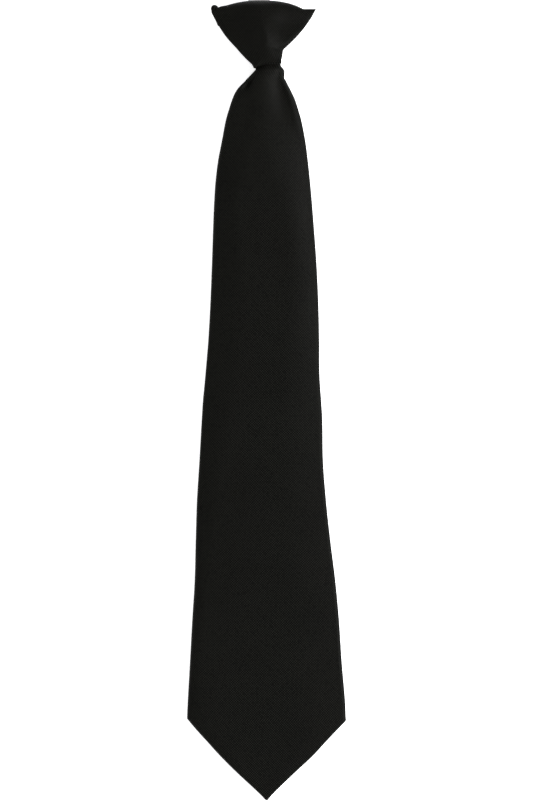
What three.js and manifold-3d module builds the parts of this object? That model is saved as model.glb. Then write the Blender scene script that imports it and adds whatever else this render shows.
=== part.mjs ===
// Clip-on necktie, laid on its back with the front side up. Millimetres.
// +X is the right of the front view, +Y runs from the point to the knot, +Z faces the viewer.
// Z = 0 is the surface that the blade's back and the clip's lip lie on.
// X = 0 is the blade's centre line, and Y = 0 is halfway between the clip's bend and the point.

import * as THREE from 'three';
import Module from 'manifold-3d';
import { mergeVertices } from 'three/addons/utils/BufferGeometryUtils.js';

// Driving dimensions: overall
const TIE_LENGTH = 447.6; // knot's top fold to the point
const BLADE_WIDTH = 88.9; // at the corners of the point
const POINT_HEIGHT = 45.9; // corners to the point
const FIT_GAP = 0.3; // between neighbouring pieces

// Driving dimensions: knot
const KNOT_WIDTH = 58.2; // over the two upper corners
const KNOT_HEIGHT = 36.5; // top fold to the middle of the hem
const KNOT_SHIFT = -2; // knot's centre from the blade's centre line
const KNOT_WALL = 1.6; // wrapped cloth
const KNOT_CROWN = 2.6; // what the knot's front stands over its throat
const SHOULDER_DROP = 4.5; // fall of the top fold's arc towards the corners
const HEM_WIDTH = 15.1; // throat, over the cloth
const HEM_SHIFT = 0.6; // throat's centre from the blade's centre line
const HEM_SLANT = 2.2; // the hem's left end is this much lower than its right end
const TOP_FOLD = 4.4; // length over which the top fold rounds over

// Driving dimensions: blade
const BLADE_WALL = 1.2; // cloth of the front panel and of the back flaps
const EDGE_THICK = 3.6; // over the rolled side folds
const POINT_THICK = 2.9; // at the point
const POINT_RADIUS = 0.6;
const BLADE_CROWN = 4.2; // what the front panel stands over its side folds
const FOLD_DEPTH = 2.4; // deepest gather under the knot
const NECK_THICK = 6.4; // gathered neck inside the throat
const NECK_INSERT = 19; // neck's length above the hem
const SEAM_GAP = 0.6; // between the two back flaps
const HEM_FOLD = 9.5; // turned hem beside the point, measured across the blade
const VENT_RISE = 52; // back opening, from the corners up to the end of the seam

// Driving dimensions: clip
const STRAP_WIDTH = 12;
const STRAP_THICK = 0.9;
const STRAP_SHIFT = -4.2; // strap's centre from the blade's centre line
const CLIP_RISE = 0.95; // bend's top above the knot's top fold
const PLATE_LENGTH = 20; // inside the knot
const TONGUE_LENGTH = 22; // behind the knot
const GRIP_GAP = 2.6; // between the tongue and the knot's back
const LIP_RADIUS = 6;
const LIP_ANGLE = THREE.MathUtils.degToRad(35);
const LIP_CORNER = 4; // rounding of the tongue's free end, seen from the front

// Heights worked out from the sizes above, from the surface up
const LIP_FALL = LIP_RADIUS * (1 - Math.cos(LIP_ANGLE));
const TONGUE_Z = LIP_FALL + (STRAP_THICK / 2) * Math.cos(LIP_ANGLE);
const KNOT_BACK_Z = TONGUE_Z + STRAP_THICK / 2 + GRIP_GAP;
const PLATE_Z = KNOT_BACK_Z + KNOT_WALL + 1.5 * FIT_GAP + STRAP_THICK / 2; // clear of the slot's cut
const NECK_Z = PLATE_Z + STRAP_THICK / 2 + FIT_GAP;
const THROAT_DEPTH = NECK_Z + NECK_THICK + FIT_GAP + KNOT_WALL - KNOT_BACK_Z;
const BEND_RADIUS = (PLATE_Z - TONGUE_Z) / 2;

// Stations worked out from the sizes above, along the tie
const KNOT_TOP = (TIE_LENGTH - CLIP_RISE) / 2;
const HEM_Y = KNOT_TOP - KNOT_HEIGHT;
const POINT_Y = KNOT_TOP - TIE_LENGTH;
const CORNER_Y = POINT_Y + POINT_HEIGHT;
const BODY_START = HEM_Y - HEM_SLANT / 2 - FIT_GAP;
const BEND_Y = KNOT_TOP + CLIP_RISE - BEND_RADIUS - STRAP_THICK / 2;

// Knot, from the top fold (at 0) to the hem (at 1).
// left, right: way from the upper corner to the hem's end. crown: share of KNOT_CROWN.
// ridge: place of the front's ridge across, from -1 to 1. fullLeft, fullRight: roundness of its flanks.
// hollow: dent of the right wing, as a share of KNOT_CROWN.
const KNOT_ROWS = [
  { at: 0.0, left: 0.0, right: 0.0, crown: -0.5, ridge: 0.1, fullLeft: 2.6, fullRight: 2.4, hollow: 0.0 },
  { at: 0.12, left: 0.062, right: 0.105, crown: 0.1, ridge: 0.14, fullLeft: 2.0, fullRight: 1.9, hollow: 0.2 },
  { at: 0.25, left: 0.163, right: 0.25, crown: 0.6, ridge: 0.18, fullLeft: 1.7, fullRight: 1.6, hollow: 0.5 },
  { at: 0.4, left: 0.298, right: 0.435, crown: 1.0, ridge: 0.2, fullLeft: 1.7, fullRight: 1.6, hollow: 0.6 },
  { at: 0.55, left: 0.465, right: 0.655, crown: 1.0, ridge: 0.22, fullLeft: 1.8, fullRight: 1.8, hollow: 0.4 },
  { at: 0.69, left: 0.648, right: 0.9, crown: 0.8, ridge: 0.22, fullLeft: 2.2, fullRight: 2.4, hollow: 0.1 },
  { at: 0.8, left: 0.79, right: 0.98, crown: 0.5, ridge: 0.15, fullLeft: 2.8, fullRight: 3.0, hollow: 0.0 },
  { at: 0.92, left: 0.955, right: 1.0, crown: 0.2, ridge: 0.05, fullLeft: 3.6, fullRight: 3.6, hollow: 0.0 },
  { at: 1.0, left: 1.0, right: 1.0, crown: 0.0, ridge: 0.0, fullLeft: 4.0, fullRight: 4.0, hollow: 0.0 },
];

// Knot's top edge beside its arc: the rolled left ear and the flat right ear.
// across: from -1 to 1. drop: share of SHOULDER_DROP.
const LEFT_EAR = [
  { across: -1.0, drop: 1.0 },
  { across: -0.975, drop: 0.68 },
  { across: -0.93, drop: 0.53 },
  { across: -0.89, drop: 0.68 },
  { across: -0.86, drop: 0.97 },
];
const RIGHT_EAR = [
  { across: 0.79, drop: 1.06 },
  { across: 0.84, drop: 1.03 },
  { across: 0.91, drop: 1.04 },
  { across: 1.0, drop: 1.15 },
];
const ARC_CENTRE = -0.03; // top of the arc, across the knot
const ARC_REACH = 0.83; // where the arc has fallen by SHOULDER_DROP
const ARC_COLUMNS = 13;
const RIM_SHARE = 0.4; // height of the knot's side edges, as a share of its throat's depth
const SIDE_INSET = 1.15; // wall across the knot's slanting sides, as a share of KNOT_WALL

// Blade, from the throat (at 0) to the corners (at 1).
// left, right: half widths as shares of half of BLADE_WIDTH. plump: 1 is NECK_THICK, 0 is EDGE_THICK.
// lift: share of NECK_Z. crown: share of BLADE_CROWN.
const BLADE_ROWS = [
  { at: 0.0023, left: 0.15, right: 0.212, plump: 1.0, lift: 1.0, crown: 0.0 },
  { at: 0.0115, left: 0.207, right: 0.222, plump: 1.0, lift: 0.985, crown: 0.1 },
  { at: 0.0177, left: 0.256, right: 0.231, plump: 0.95, lift: 0.965, crown: 0.2 },
  { at: 0.0239, left: 0.307, right: 0.259, plump: 0.9, lift: 0.94, crown: 0.3 },
  { at: 0.0362, left: 0.387, right: 0.312, plump: 0.78, lift: 0.88, crown: 0.5 },
  { at: 0.0485, left: 0.431, right: 0.359, plump: 0.65, lift: 0.81, crown: 0.65 },
  { at: 0.0793, left: 0.509, right: 0.436, plump: 0.4, lift: 0.62, crown: 0.9 },
  { at: 0.1101, left: 0.557, right: 0.485, plump: 0.22, lift: 0.43, crown: 1.0 },
  { at: 0.1563, left: 0.622, right: 0.532, plump: 0.08, lift: 0.18, crown: 1.0 },
  { at: 0.2025, left: 0.655, right: 0.568, plump: 0.0, lift: 0.04, crown: 0.95 },
  { at: 0.24, left: 0.668, right: 0.597, plump: 0.0, lift: 0.0, crown: 0.9 },
  { at: 0.3564, left: 0.702, right: 0.65, plump: 0.0, lift: 0.0, crown: 0.8 },
  { at: 0.4334, left: 0.739, right: 0.664, plump: 0.0, lift: 0.0, crown: 0.75 },
  { at: 0.5104, left: 0.797, right: 0.686, plump: 0.0, lift: 0.0, crown: 0.7 },
  { at: 0.5874, left: 0.835, right: 0.708, plump: 0.0, lift: 0.0, crown: 0.65 },
  { at: 0.6643, left: 0.873, right: 0.748, plump: 0.0, lift: 0.0, crown: 0.6 },
  { at: 0.7413, left: 0.889, right: 0.816, plump: 0.0, lift: 0.0, crown: 0.55 },
  { at: 0.8183, left: 0.914, right: 0.892, plump: 0.0, lift: 0.0, crown: 0.5 },
  { at: 0.9, left: 0.953, right: 0.938, plump: 0.0, lift: 0.0, crown: 0.45 },
  { at: 1.0, left: 1.0, right: 1.0, plump: 0.0, lift: 0.0, crown: 0.4 },
];

// Gathers of the front panel under the knot.
// across, width: shares of the half width on that side. from, peak, to: along, as in BLADE_ROWS.
// height: share of FOLD_DEPTH, a dent where negative.
const GATHERS = [
  { name: 'pleat', across: 0.17, width: 0.34, from: -0.02, peak: 0.02, to: 0.2, height: 0.9 },
  { name: 'pocket', across: -0.7, width: 0.3, from: 0.0, peak: 0.02, to: 0.06, height: -1.0 },
  { name: 'left_valley', across: -0.42, width: 0.35, from: 0.0, peak: 0.06, to: 0.22, height: -0.45 },
  { name: 'right_valley', across: 0.7, width: 0.24, from: 0.005, peak: 0.045, to: 0.12, height: -0.75 },
  { name: 'right_rim', across: 0.93, width: 0.16, from: 0.02, peak: 0.07, to: 0.14, height: 0.25 },
];

const POINT_STATIONS = [0.14, 0.3, 0.5, 0.7, 0.86, 0.95, 1]; // shares of POINT_HEIGHT
const POINT_BULGE = 0.026; // fullness of the point's sides, as a share of the half width
const CAVITY_END = 0.86; // where the blade's hollow ends in the point
const ROLL_STEPS = 4;
const BEND_STEPS = 12;
const LIP_STEPS = 4;
const FRONT_STEPS = 16;

const wasm = await Module();
wasm.setup();

// Smooth interpolation of one column of a table, held constant past its ends.
function sample(rows, at, column) {
  const last = rows.length - 1;
  if (at <= rows[0].at) return rows[0][column];
  if (at >= rows[last].at) return rows[last][column];
  const next = rows.findIndex((row) => row.at > at);
  const a = rows[next - 1];
  const b = rows[next];
  const before = rows[Math.max(next - 2, 0)];
  const after = rows[Math.min(next + 1, last)];
  const span = b.at - a.at;
  const share = (at - a.at) / span;
  const slopeA = (b[column] - before[column]) / (b.at - before.at);
  const slopeB = (after[column] - a[column]) / (after.at - a.at);
  const square = share * share;
  const cube = square * share;
  return (
    a[column] * (2 * cube - 3 * square + 1) +
    b[column] * (3 * square - 2 * cube) +
    slopeA * span * (cube - 2 * square + share) +
    slopeB * span * (cube - square)
  );
}

// Straight interpolation of the drop of the knot's top edge.
function earDrop(ear, across) {
  const next = Math.max(ear.findIndex((row) => row.across >= across), 1);
  const a = ear[next - 1];
  const b = ear[next];
  return THREE.MathUtils.mapLinear(across, a.across, b.across, a.drop, b.drop);
}

// Triangles between rings of the same number of points, with a fan over each end that is asked for.
function loftGeometry(rings, capFirst, capLast) {
  const count = rings[0].length;
  const positions = rings.flat().flatMap((point) => point.toArray());
  const indices = [];
  for (let row = 0; row + 1 < rings.length; row += 1) {
    for (let step = 0; step < count; step += 1) {
      const a = row * count + step;
      const b = row * count + ((step + 1) % count);
      indices.push(a, b, b + count);
      indices.push(a, b + count, a + count);
    }
  }
  const addFan = (row, flip) => {
    const centre = new THREE.Vector3();
    rings[row].forEach((point) => centre.addScaledVector(point, 1 / count));
    const hub = positions.length / 3;
    positions.push(...centre.toArray());
    for (let step = 0; step < count; step += 1) {
      const a = row * count + step;
      const b = row * count + ((step + 1) % count);
      indices.push(...(flip ? [hub, b, a] : [hub, a, b]));
    }
  };
  if (capFirst) addFan(0, true);
  if (capLast) addFan(rings.length - 1, false);
  const geometry = new THREE.BufferGeometry();
  geometry.setAttribute('position', new THREE.Float32BufferAttribute(positions, 3));
  geometry.setIndex(indices);
  return geometry;
}

// Signed volume, positive where the faces point outwards.
function signedVolume(geometry) {
  const corners = [new THREE.Vector3(), new THREE.Vector3(), new THREE.Vector3()];
  const { index, attributes } = geometry;
  let volume = 0;
  for (let face = 0; face < index.count; face += 3) {
    corners.forEach((corner, turn) => corner.fromBufferAttribute(attributes.position, index.getX(face + turn)));
    volume += corners[0].dot(corners[1].cross(corners[2])) / 6;
  }
  return volume;
}

// Closed geometry as a solid that can be joined and cut.
function toSolid(source) {
  const bare = source.clone();
  bare.deleteAttribute('normal');
  bare.deleteAttribute('uv');
  const merged = mergeVertices(bare, 1e-4);
  const inside = signedVolume(merged) < 0;
  const triangles = [];
  for (let face = 0; face < merged.index.count; face += 3) {
    const [a, b, c] = [0, 1, 2].map((turn) => merged.index.getX(face + turn));
    if (a !== b && b !== c && c !== a) triangles.push(...(inside ? [a, c, b] : [a, b, c]));
  }
  return new wasm.Manifold(
    new wasm.Mesh({
      numProp: 3,
      vertProperties: new Float32Array(merged.attributes.position.array),
      triVerts: new Uint32Array(triangles),
    }),
  );
}

// Named mesh of a solid, with its own material.
function toMesh(name, solid, material) {
  const { vertProperties, triVerts } = solid.getMesh();
  const geometry = new THREE.BufferGeometry();
  geometry.setAttribute('position', new THREE.BufferAttribute(vertProperties, 3));
  geometry.setIndex(new THREE.BufferAttribute(triVerts, 1));
  geometry.computeVertexNormals();
  const mesh = new THREE.Mesh(geometry, material);
  mesh.name = name;
  return mesh;
}

// Ring of a flat tube across the tie: back, right roll, front, left roll.
// left and right are X values, and front(x) is what the front stands over the rolls.
function tubeRing({ y, left, right, bottom, edge, front }) {
  const rollZ = edge / 2;
  const rollX = Math.min(rollZ, (right - left) * 0.42);
  const ring = [];
  const add = (x, z) => ring.push(new THREE.Vector3(x, y, z));
  add(left + rollX, bottom);
  for (let step = 0; step < ROLL_STEPS; step += 1) {
    const angle = -Math.PI / 2 + (Math.PI * step) / ROLL_STEPS;
    add(right - rollX + rollX * Math.cos(angle), bottom + rollZ + rollZ * Math.sin(angle));
  }
  for (let step = 0; step <= FRONT_STEPS; step += 1) {
    const x = THREE.MathUtils.lerp(right - rollX, left + rollX, step / FRONT_STEPS);
    add(x, bottom + edge + front(x));
  }
  for (let step = 1; step < ROLL_STEPS; step += 1) {
    const angle = Math.PI / 2 + (Math.PI * step) / ROLL_STEPS;
    add(left + rollX + rollX * Math.cos(angle), bottom + rollZ + rollZ * Math.sin(angle));
  }
  return ring;
}

// Height of all gathers at one station and one place across, from -1 to 1.
function gatherHeight(at, across) {
  let height = 0;
  for (const fold of GATHERS) {
    const along =
      at < fold.peak
        ? THREE.MathUtils.smoothstep(at, fold.from, fold.peak)
        : 1 - THREE.MathUtils.smoothstep(at, fold.peak, fold.to);
    const away = (across - fold.across) / fold.width;
    height += fold.height * FOLD_DEPTH * along * Math.exp(-2 * away * away);
  }
  return height;
}

// Section of the blade at a Y station: half widths, thickness, lift and front.
function bladeSection(y) {
  const half = BLADE_WIDTH / 2;
  if (y >= BODY_START) {
    const neckHalf = HEM_WIDTH / 2 - KNOT_WALL * SIDE_INSET - FIT_GAP;
    return { left: HEM_SHIFT - neckHalf, right: HEM_SHIFT + neckHalf, bottom: NECK_Z, edge: NECK_THICK, front: () => 0 };
  }
  const at = Math.min((BODY_START - y) / (BODY_START - CORNER_Y), 1);
  const point = THREE.MathUtils.clamp((CORNER_Y - y) / POINT_HEIGHT, 0, 1);
  const taper = Math.max(1 - point + POINT_BULGE * 4 * point * (1 - point), POINT_RADIUS / half);
  const left = -half * sample(BLADE_ROWS, at, 'left') * taper;
  const right = half * sample(BLADE_ROWS, at, 'right') * taper;
  const fullEdge = THREE.MathUtils.lerp(EDGE_THICK, NECK_THICK, sample(BLADE_ROWS, at, 'plump'));
  const crown = BLADE_CROWN * sample(BLADE_ROWS, at, 'crown') * (1 - point) ** 0.7;
  const front = (x) => {
    const across = THREE.MathUtils.clamp(x < 0 ? -x / left : x / right, -1, 1);
    const shoulder = 1 - across ** 4;
    return (crown * (1 - across * across) ** 0.8 + gatherHeight(at, across)) * shoulder;
  };
  return {
    left,
    right,
    bottom: Math.max(NECK_Z * sample(BLADE_ROWS, at, 'lift'), 0),
    edge: THREE.MathUtils.lerp(fullEdge, POINT_THICK, point),
    front,
  };
}

// Y stations of the blade, from the neck's free end to the given end in the point.
function bladeStations(neckEnd, lastPoint) {
  const body = BLADE_ROWS.map((row) => THREE.MathUtils.lerp(BODY_START, CORNER_Y, row.at));
  const point = POINT_STATIONS.filter((share) => share <= lastPoint);
  return [neckEnd, BODY_START, ...body, ...point.map((share) => CORNER_Y - share * POINT_HEIGHT)];
}

// Half width of the cut between the back flaps: the seam's gap, then the opening over the point.
function ventHalf(y) {
  const point = (CORNER_Y - y) / POINT_HEIGHT;
  const section = bladeSection(y);
  const inside = Math.min(-section.left, section.right) - HEM_FOLD;
  const spread = THREE.MathUtils.smoothstep(CORNER_Y + VENT_RISE - y, 0, VENT_RISE * 1.6) * 1.3;
  const wanted = point > 0 ? inside : Math.min(inside, (BLADE_WIDTH / 2 - HEM_FOLD) * spread);
  return Math.max(wanted, SEAM_GAP / 2);
}

// Blade: front panel, rolled side folds and two back flaps that meet at the seam.
function makeBlade(material) {
  const outer = bladeStations(HEM_Y + NECK_INSERT, 1).map((y) => tubeRing({ y, ...bladeSection(y) }));
  const innerStations = bladeStations(HEM_Y + NECK_INSERT + FIT_GAP, CAVITY_END);
  const inner = innerStations.map((y) => {
    const section = bladeSection(y);
    const inset = y < CORNER_Y ? BLADE_WALL * Math.SQRT2 : BLADE_WALL;
    return tubeRing({
      y,
      left: section.left + inset,
      right: section.right - inset,
      bottom: section.bottom + BLADE_WALL,
      edge: Math.max(section.edge - 2 * BLADE_WALL, 0.2 * section.edge),
      front: section.front,
    });
  });
  const cut = innerStations.map((y) => {
    const { bottom, edge } = bladeSection(y);
    const half = ventHalf(y);
    const low = bottom - BLADE_WALL;
    const high = bottom + Math.min(BLADE_WALL * 1.3, edge / 2);
    return [
      new THREE.Vector3(-half, y, low),
      new THREE.Vector3(half, y, low),
      new THREE.Vector3(half, y, high),
      new THREE.Vector3(-half, y, high),
    ];
  });
  const solid = toSolid(loftGeometry(outer, true, true))
    .subtract(toSolid(loftGeometry(inner, true, true)))
    .subtract(toSolid(loftGeometry(cut, true, true)));
  return toMesh('blade', solid, material);
}

// Places across the knot where its rows have a point.
function knotColumns() {
  const from = LEFT_EAR[LEFT_EAR.length - 1].across;
  const to = RIGHT_EAR[0].across;
  const arc = Array.from({ length: ARC_COLUMNS }, (_, step) => {
    return THREE.MathUtils.lerp(from, to, (step + 1) / (ARC_COLUMNS + 1));
  });
  return [...LEFT_EAR.map((row) => row.across), ...arc, ...RIGHT_EAR.map((row) => row.across)];
}

// Height of the knot's top edge at a place across. The hollow inside follows the arc alone.
function knotTop(across, withEars) {
  const leftEnd = LEFT_EAR[LEFT_EAR.length - 1].across;
  const arcDrop = ((across - ARC_CENTRE) / ARC_REACH) ** 2;
  let drop = arcDrop;
  if (withEars && across <= leftEnd) drop = earDrop(LEFT_EAR, across);
  if (withEars && across >= RIGHT_EAR[0].across) drop = earDrop(RIGHT_EAR, across);
  return KNOT_TOP - SHOULDER_DROP * drop;
}

// Ring of the knot at one row: back from left to right, then front from right to left.
function knotRing(at, inset) {
  const columns = knotColumns();
  const hemLeft = HEM_SHIFT - HEM_WIDTH / 2;
  const hemRight = HEM_SHIFT + HEM_WIDTH / 2;
  const cornerLeft = KNOT_SHIFT - KNOT_WIDTH / 2;
  const cornerRight = KNOT_SHIFT + KNOT_WIDTH / 2;
  // The hollow starts lower than the cloth, so its sides are read at the height that they have.
  const sideAt = (across) => {
    const hem = HEM_Y + (across * HEM_SLANT) / 2;
    const top = knotTop(across, true);
    return (top - THREE.MathUtils.lerp(knotTop(across, inset === 0) - inset, hem, at)) / (top - hem);
  };
  const sideInset = inset * SIDE_INSET;
  const left = THREE.MathUtils.lerp(cornerLeft, hemLeft, sample(KNOT_ROWS, sideAt(-1), 'left')) + sideInset;
  const right = THREE.MathUtils.lerp(cornerRight, hemRight, sample(KNOT_ROWS, sideAt(1), 'right')) - sideInset;
  const rounding = Math.min((at * KNOT_HEIGHT) / (TOP_FOLD - inset), 1);
  const swell = Math.sqrt(1 - (1 - rounding) ** 2);
  const rim = KNOT_BACK_Z + THROAT_DEPTH * RIM_SHARE;
  const rise = THROAT_DEPTH * (1 - RIM_SHARE) - inset + KNOT_CROWN * sample(KNOT_ROWS, at, 'crown');
  const sink = THROAT_DEPTH * RIM_SHARE - inset;
  const ridge = sample(KNOT_ROWS, at, 'ridge');
  const place = (across, z) => {
    const x = THREE.MathUtils.lerp(left, right, (across + 1) / 2);
    const top = knotTop(across, inset === 0) - inset;
    const hem = HEM_Y + (across * HEM_SLANT) / 2;
    return new THREE.Vector3(x, THREE.MathUtils.lerp(top, hem, at), z);
  };
  const back = columns.map((across) => {
    const full = 1 - Math.abs(across) ** 4;
    return place(across, rim - sink * swell * full ** 0.25);
  });
  const front = columns.slice(1, -1).map((across) => {
    const side = across < ridge ? -1 : 1;
    const away = (across - ridge) / (side - ridge);
    const power = sample(KNOT_ROWS, at, side < 0 ? 'fullLeft' : 'fullRight');
    const flank = Math.max(1 - away ** power, 0) ** (1 / power);
    const dent = side > 0 ? sample(KNOT_ROWS, at, 'hollow') * KNOT_CROWN * Math.sin(Math.PI * away) ** 2 : 0;
    return place(across, rim + swell * (rise * flank - dent));
  });
  return [...back, ...front.reverse()];
}

// Knot: one wrap of cloth, open at the throat, with a slot where the clip leaves it.
function makeKnot(material) {
  const outerRows = [0, 0.006, 0.025, 0.06, 0.12, 0.25, 0.4, 0.55, 0.69, 0.8, 0.92, 1];
  const innerRows = [0, 0.025, 0.08, 0.25, 0.4, 0.55, 0.69, 0.8, 0.92, 1, 1.15];
  const outer = loftGeometry(outerRows.map((at) => knotRing(at, 0)), false, true);
  const inner = loftGeometry(innerRows.map((at) => knotRing(at, KNOT_WALL)), false, true);
  const solid = toSolid(outer).subtract(toSolid(inner)).subtract(strapSolid(FIT_GAP));
  return toMesh('knot_wrap', solid, material);
}

// Points along the strap's middle, as plate, bend, tongue and lip, with the outward direction at each.
// X and Y of these vectors are the tie's Y and Z.
function strapPath() {
  const middle = new THREE.Vector2(BEND_Y, (PLATE_Z + TONGUE_Z) / 2);
  const up = new THREE.Vector2(0, 1);
  const path = [{ point: new THREE.Vector2(BEND_Y - PLATE_LENGTH, PLATE_Z), out: up }];
  for (let step = 0; step <= BEND_STEPS; step += 1) {
    const angle = Math.PI / 2 - (Math.PI * step) / BEND_STEPS;
    const out = new THREE.Vector2(Math.cos(angle), Math.sin(angle));
    path.push({ point: middle.clone().addScaledVector(out, BEND_RADIUS), out });
  }
  const lipCentre = new THREE.Vector2(BEND_Y - TONGUE_LENGTH, TONGUE_Z - LIP_RADIUS);
  for (let step = 0; step <= LIP_STEPS; step += 1) {
    const angle = Math.PI / 2 + (LIP_ANGLE * step) / LIP_STEPS;
    const away = new THREE.Vector2(Math.cos(angle), Math.sin(angle));
    path.push({ point: lipCentre.clone().addScaledVector(away, LIP_RADIUS), out: away.negate() });
  }
  return path;
}

// Strap of the clip, grown by a clearance on its two faces and its two sides.
function strapSolid(clearance) {
  const path = strapPath();
  const half = STRAP_THICK / 2 + clearance;
  const outside = path.map(({ point, out }) => point.clone().addScaledVector(out, half));
  const inside = path.map(({ point, out }) => point.clone().addScaledVector(out, -half));
  const width = STRAP_WIDTH + 2 * clearance;
  const outline = new THREE.Shape([...outside, ...inside.reverse()]);
  const strip = new THREE.ExtrudeGeometry(outline, { depth: width, bevelEnabled: false });
  // The outline's X and Y become the tie's Y and Z, and the depth becomes its X.
  const turn = new THREE.Matrix4().set(0, 0, 1, STRAP_SHIFT - width / 2, 1, 0, 0, 0, 0, 1, 0, 0, 0, 0, 0, 1);
  strip.applyMatrix4(turn);
  return toSolid(strip);
}

// Clip: one bent strip of metal whose free end is rounded off.
function makeClip(material) {
  const half = STRAP_WIDTH / 2;
  const low = BEND_Y - TONGUE_LENGTH - LIP_RADIUS * Math.sin(LIP_ANGLE) - STRAP_THICK;
  const high = BEND_Y + BEND_RADIUS + STRAP_THICK;
  const plan = new THREE.Shape();
  plan.moveTo(STRAP_SHIFT - half, high);
  plan.lineTo(STRAP_SHIFT - half, low + LIP_CORNER);
  plan.absarc(STRAP_SHIFT - half + LIP_CORNER, low + LIP_CORNER, LIP_CORNER, Math.PI, 1.5 * Math.PI, false);
  plan.absarc(STRAP_SHIFT + half - LIP_CORNER, low + LIP_CORNER, LIP_CORNER, -0.5 * Math.PI, 0, false);
  plan.lineTo(STRAP_SHIFT + half, high);
  const height = PLATE_Z + 2 * STRAP_THICK;
  const column = new THREE.ExtrudeGeometry(plan, { depth: height, bevelEnabled: false, curveSegments: 6 });
  column.translate(0, 0, -STRAP_THICK);
  return toMesh('clip', strapSolid(0).intersect(toSolid(column)), material);
}

const cloth = { roughness: 0.85, metalness: 0 };
const tie = new THREE.Group();
tie.name = 'clip_on_tie';
tie.add(makeBlade(new THREE.MeshStandardMaterial({ color: 0x17171a, ...cloth })));
tie.add(makeKnot(new THREE.MeshStandardMaterial({ color: 0x1a1a1d, ...cloth })));
tie.add(makeClip(new THREE.MeshStandardMaterial({ color: 0xb4b6b8, roughness: 0.3, metalness: 1 })));

export default tie;
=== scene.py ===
"""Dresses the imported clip-on necktie: cloth, knot, clip and stitches, then floor, lights and camera.

Everything is in metres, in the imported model's own frame: +X is the right of the front view, +Y runs from the
point to the knot, +Z faces the viewer, and Z = 0 is the surface that the tie lies on.
"""

import logging
import math
from dataclasses import dataclass, field
from enum import Enum
from typing import NamedTuple, Optional, Sequence

import bmesh
import bpy
import numpy as np
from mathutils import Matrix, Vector


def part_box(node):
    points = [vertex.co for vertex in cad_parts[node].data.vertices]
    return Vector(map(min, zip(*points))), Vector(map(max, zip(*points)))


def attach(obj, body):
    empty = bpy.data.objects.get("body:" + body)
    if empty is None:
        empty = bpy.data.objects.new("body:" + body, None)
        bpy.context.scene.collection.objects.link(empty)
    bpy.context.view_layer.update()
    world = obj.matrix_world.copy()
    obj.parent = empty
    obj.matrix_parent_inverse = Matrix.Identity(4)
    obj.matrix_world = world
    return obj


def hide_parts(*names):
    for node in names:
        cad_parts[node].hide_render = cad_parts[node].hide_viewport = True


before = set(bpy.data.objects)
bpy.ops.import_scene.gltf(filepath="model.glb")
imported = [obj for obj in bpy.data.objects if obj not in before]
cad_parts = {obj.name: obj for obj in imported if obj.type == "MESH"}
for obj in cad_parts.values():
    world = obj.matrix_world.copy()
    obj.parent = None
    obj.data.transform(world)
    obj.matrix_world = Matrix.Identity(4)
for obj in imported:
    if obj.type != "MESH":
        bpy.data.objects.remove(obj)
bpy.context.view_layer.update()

MM = 0.001
MERGE_REACH = 0.001 * MM
BODY = "root"
LOG = logging.getLogger("clip_on_tie")


class Node(Enum):
    """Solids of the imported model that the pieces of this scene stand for."""

    BLADE = "blade"
    KNOT = "knot_wrap"
    CLIP = "clip"


class Slot(Enum):
    """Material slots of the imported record."""

    BLADE = "blade_cloth"
    KNOT = "knot_cloth"
    CLIP = "clip_steel"


class KnotRow(NamedTuple):
    """One row of the knot, from the top fold (at 0) to the hem (at 1).

    left and right are the way from the upper corner to the hem's end. crown and hollow are shares of the
    knot's crown, ridge is the place of the front's ridge from -1 to 1, edge is the share of the front's rise
    that the folded sides have, and round_left and round_right are the roundness of the flanks between.
    """

    at: float
    left: float
    right: float
    crown: float
    ridge: float
    edge: float
    round_left: float
    round_right: float
    hollow: float


class EdgeRow(NamedTuple):
    """Both edges of the blade at one place, from the throat (at 0) past the corners (at 1) to the point.

    left and right are half widths as shares of half of the blade's width.
    """

    at: float
    left: float
    right: float


class ReliefRow(NamedTuple):
    """The blade's thickness and the form of its front panel at one place, as in EdgeRow.

    plump is 1 for the neck's thickness and 0 for the side folds'. lift is a share of the neck's height, and
    crown of the panel's crown. The panel is highest between its two crests, shares of the half widths, and
    falls off to the edges with the roundness given for each side.
    """

    at: float
    plump: float
    lift: float
    crown: float
    crest_left: float
    crest_right: float
    round_left: float
    round_right: float


class Gather(NamedTuple):
    """One fold of the front panel under the knot.

    across and width are shares of the half width on that side, start, peak and end are places along the
    blade as in EdgeRow, and height is a share of the deepest gather, a dent where negative.
    """

    name: str
    across: float
    width: float
    start: float
    peak: float
    end: float
    height: float


class Wave(NamedTuple):
    """One slow wave of relaxed cloth: its share, its turns per metre in radians, and its phase."""

    share: float
    along: float
    across: float
    phase: float


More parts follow.
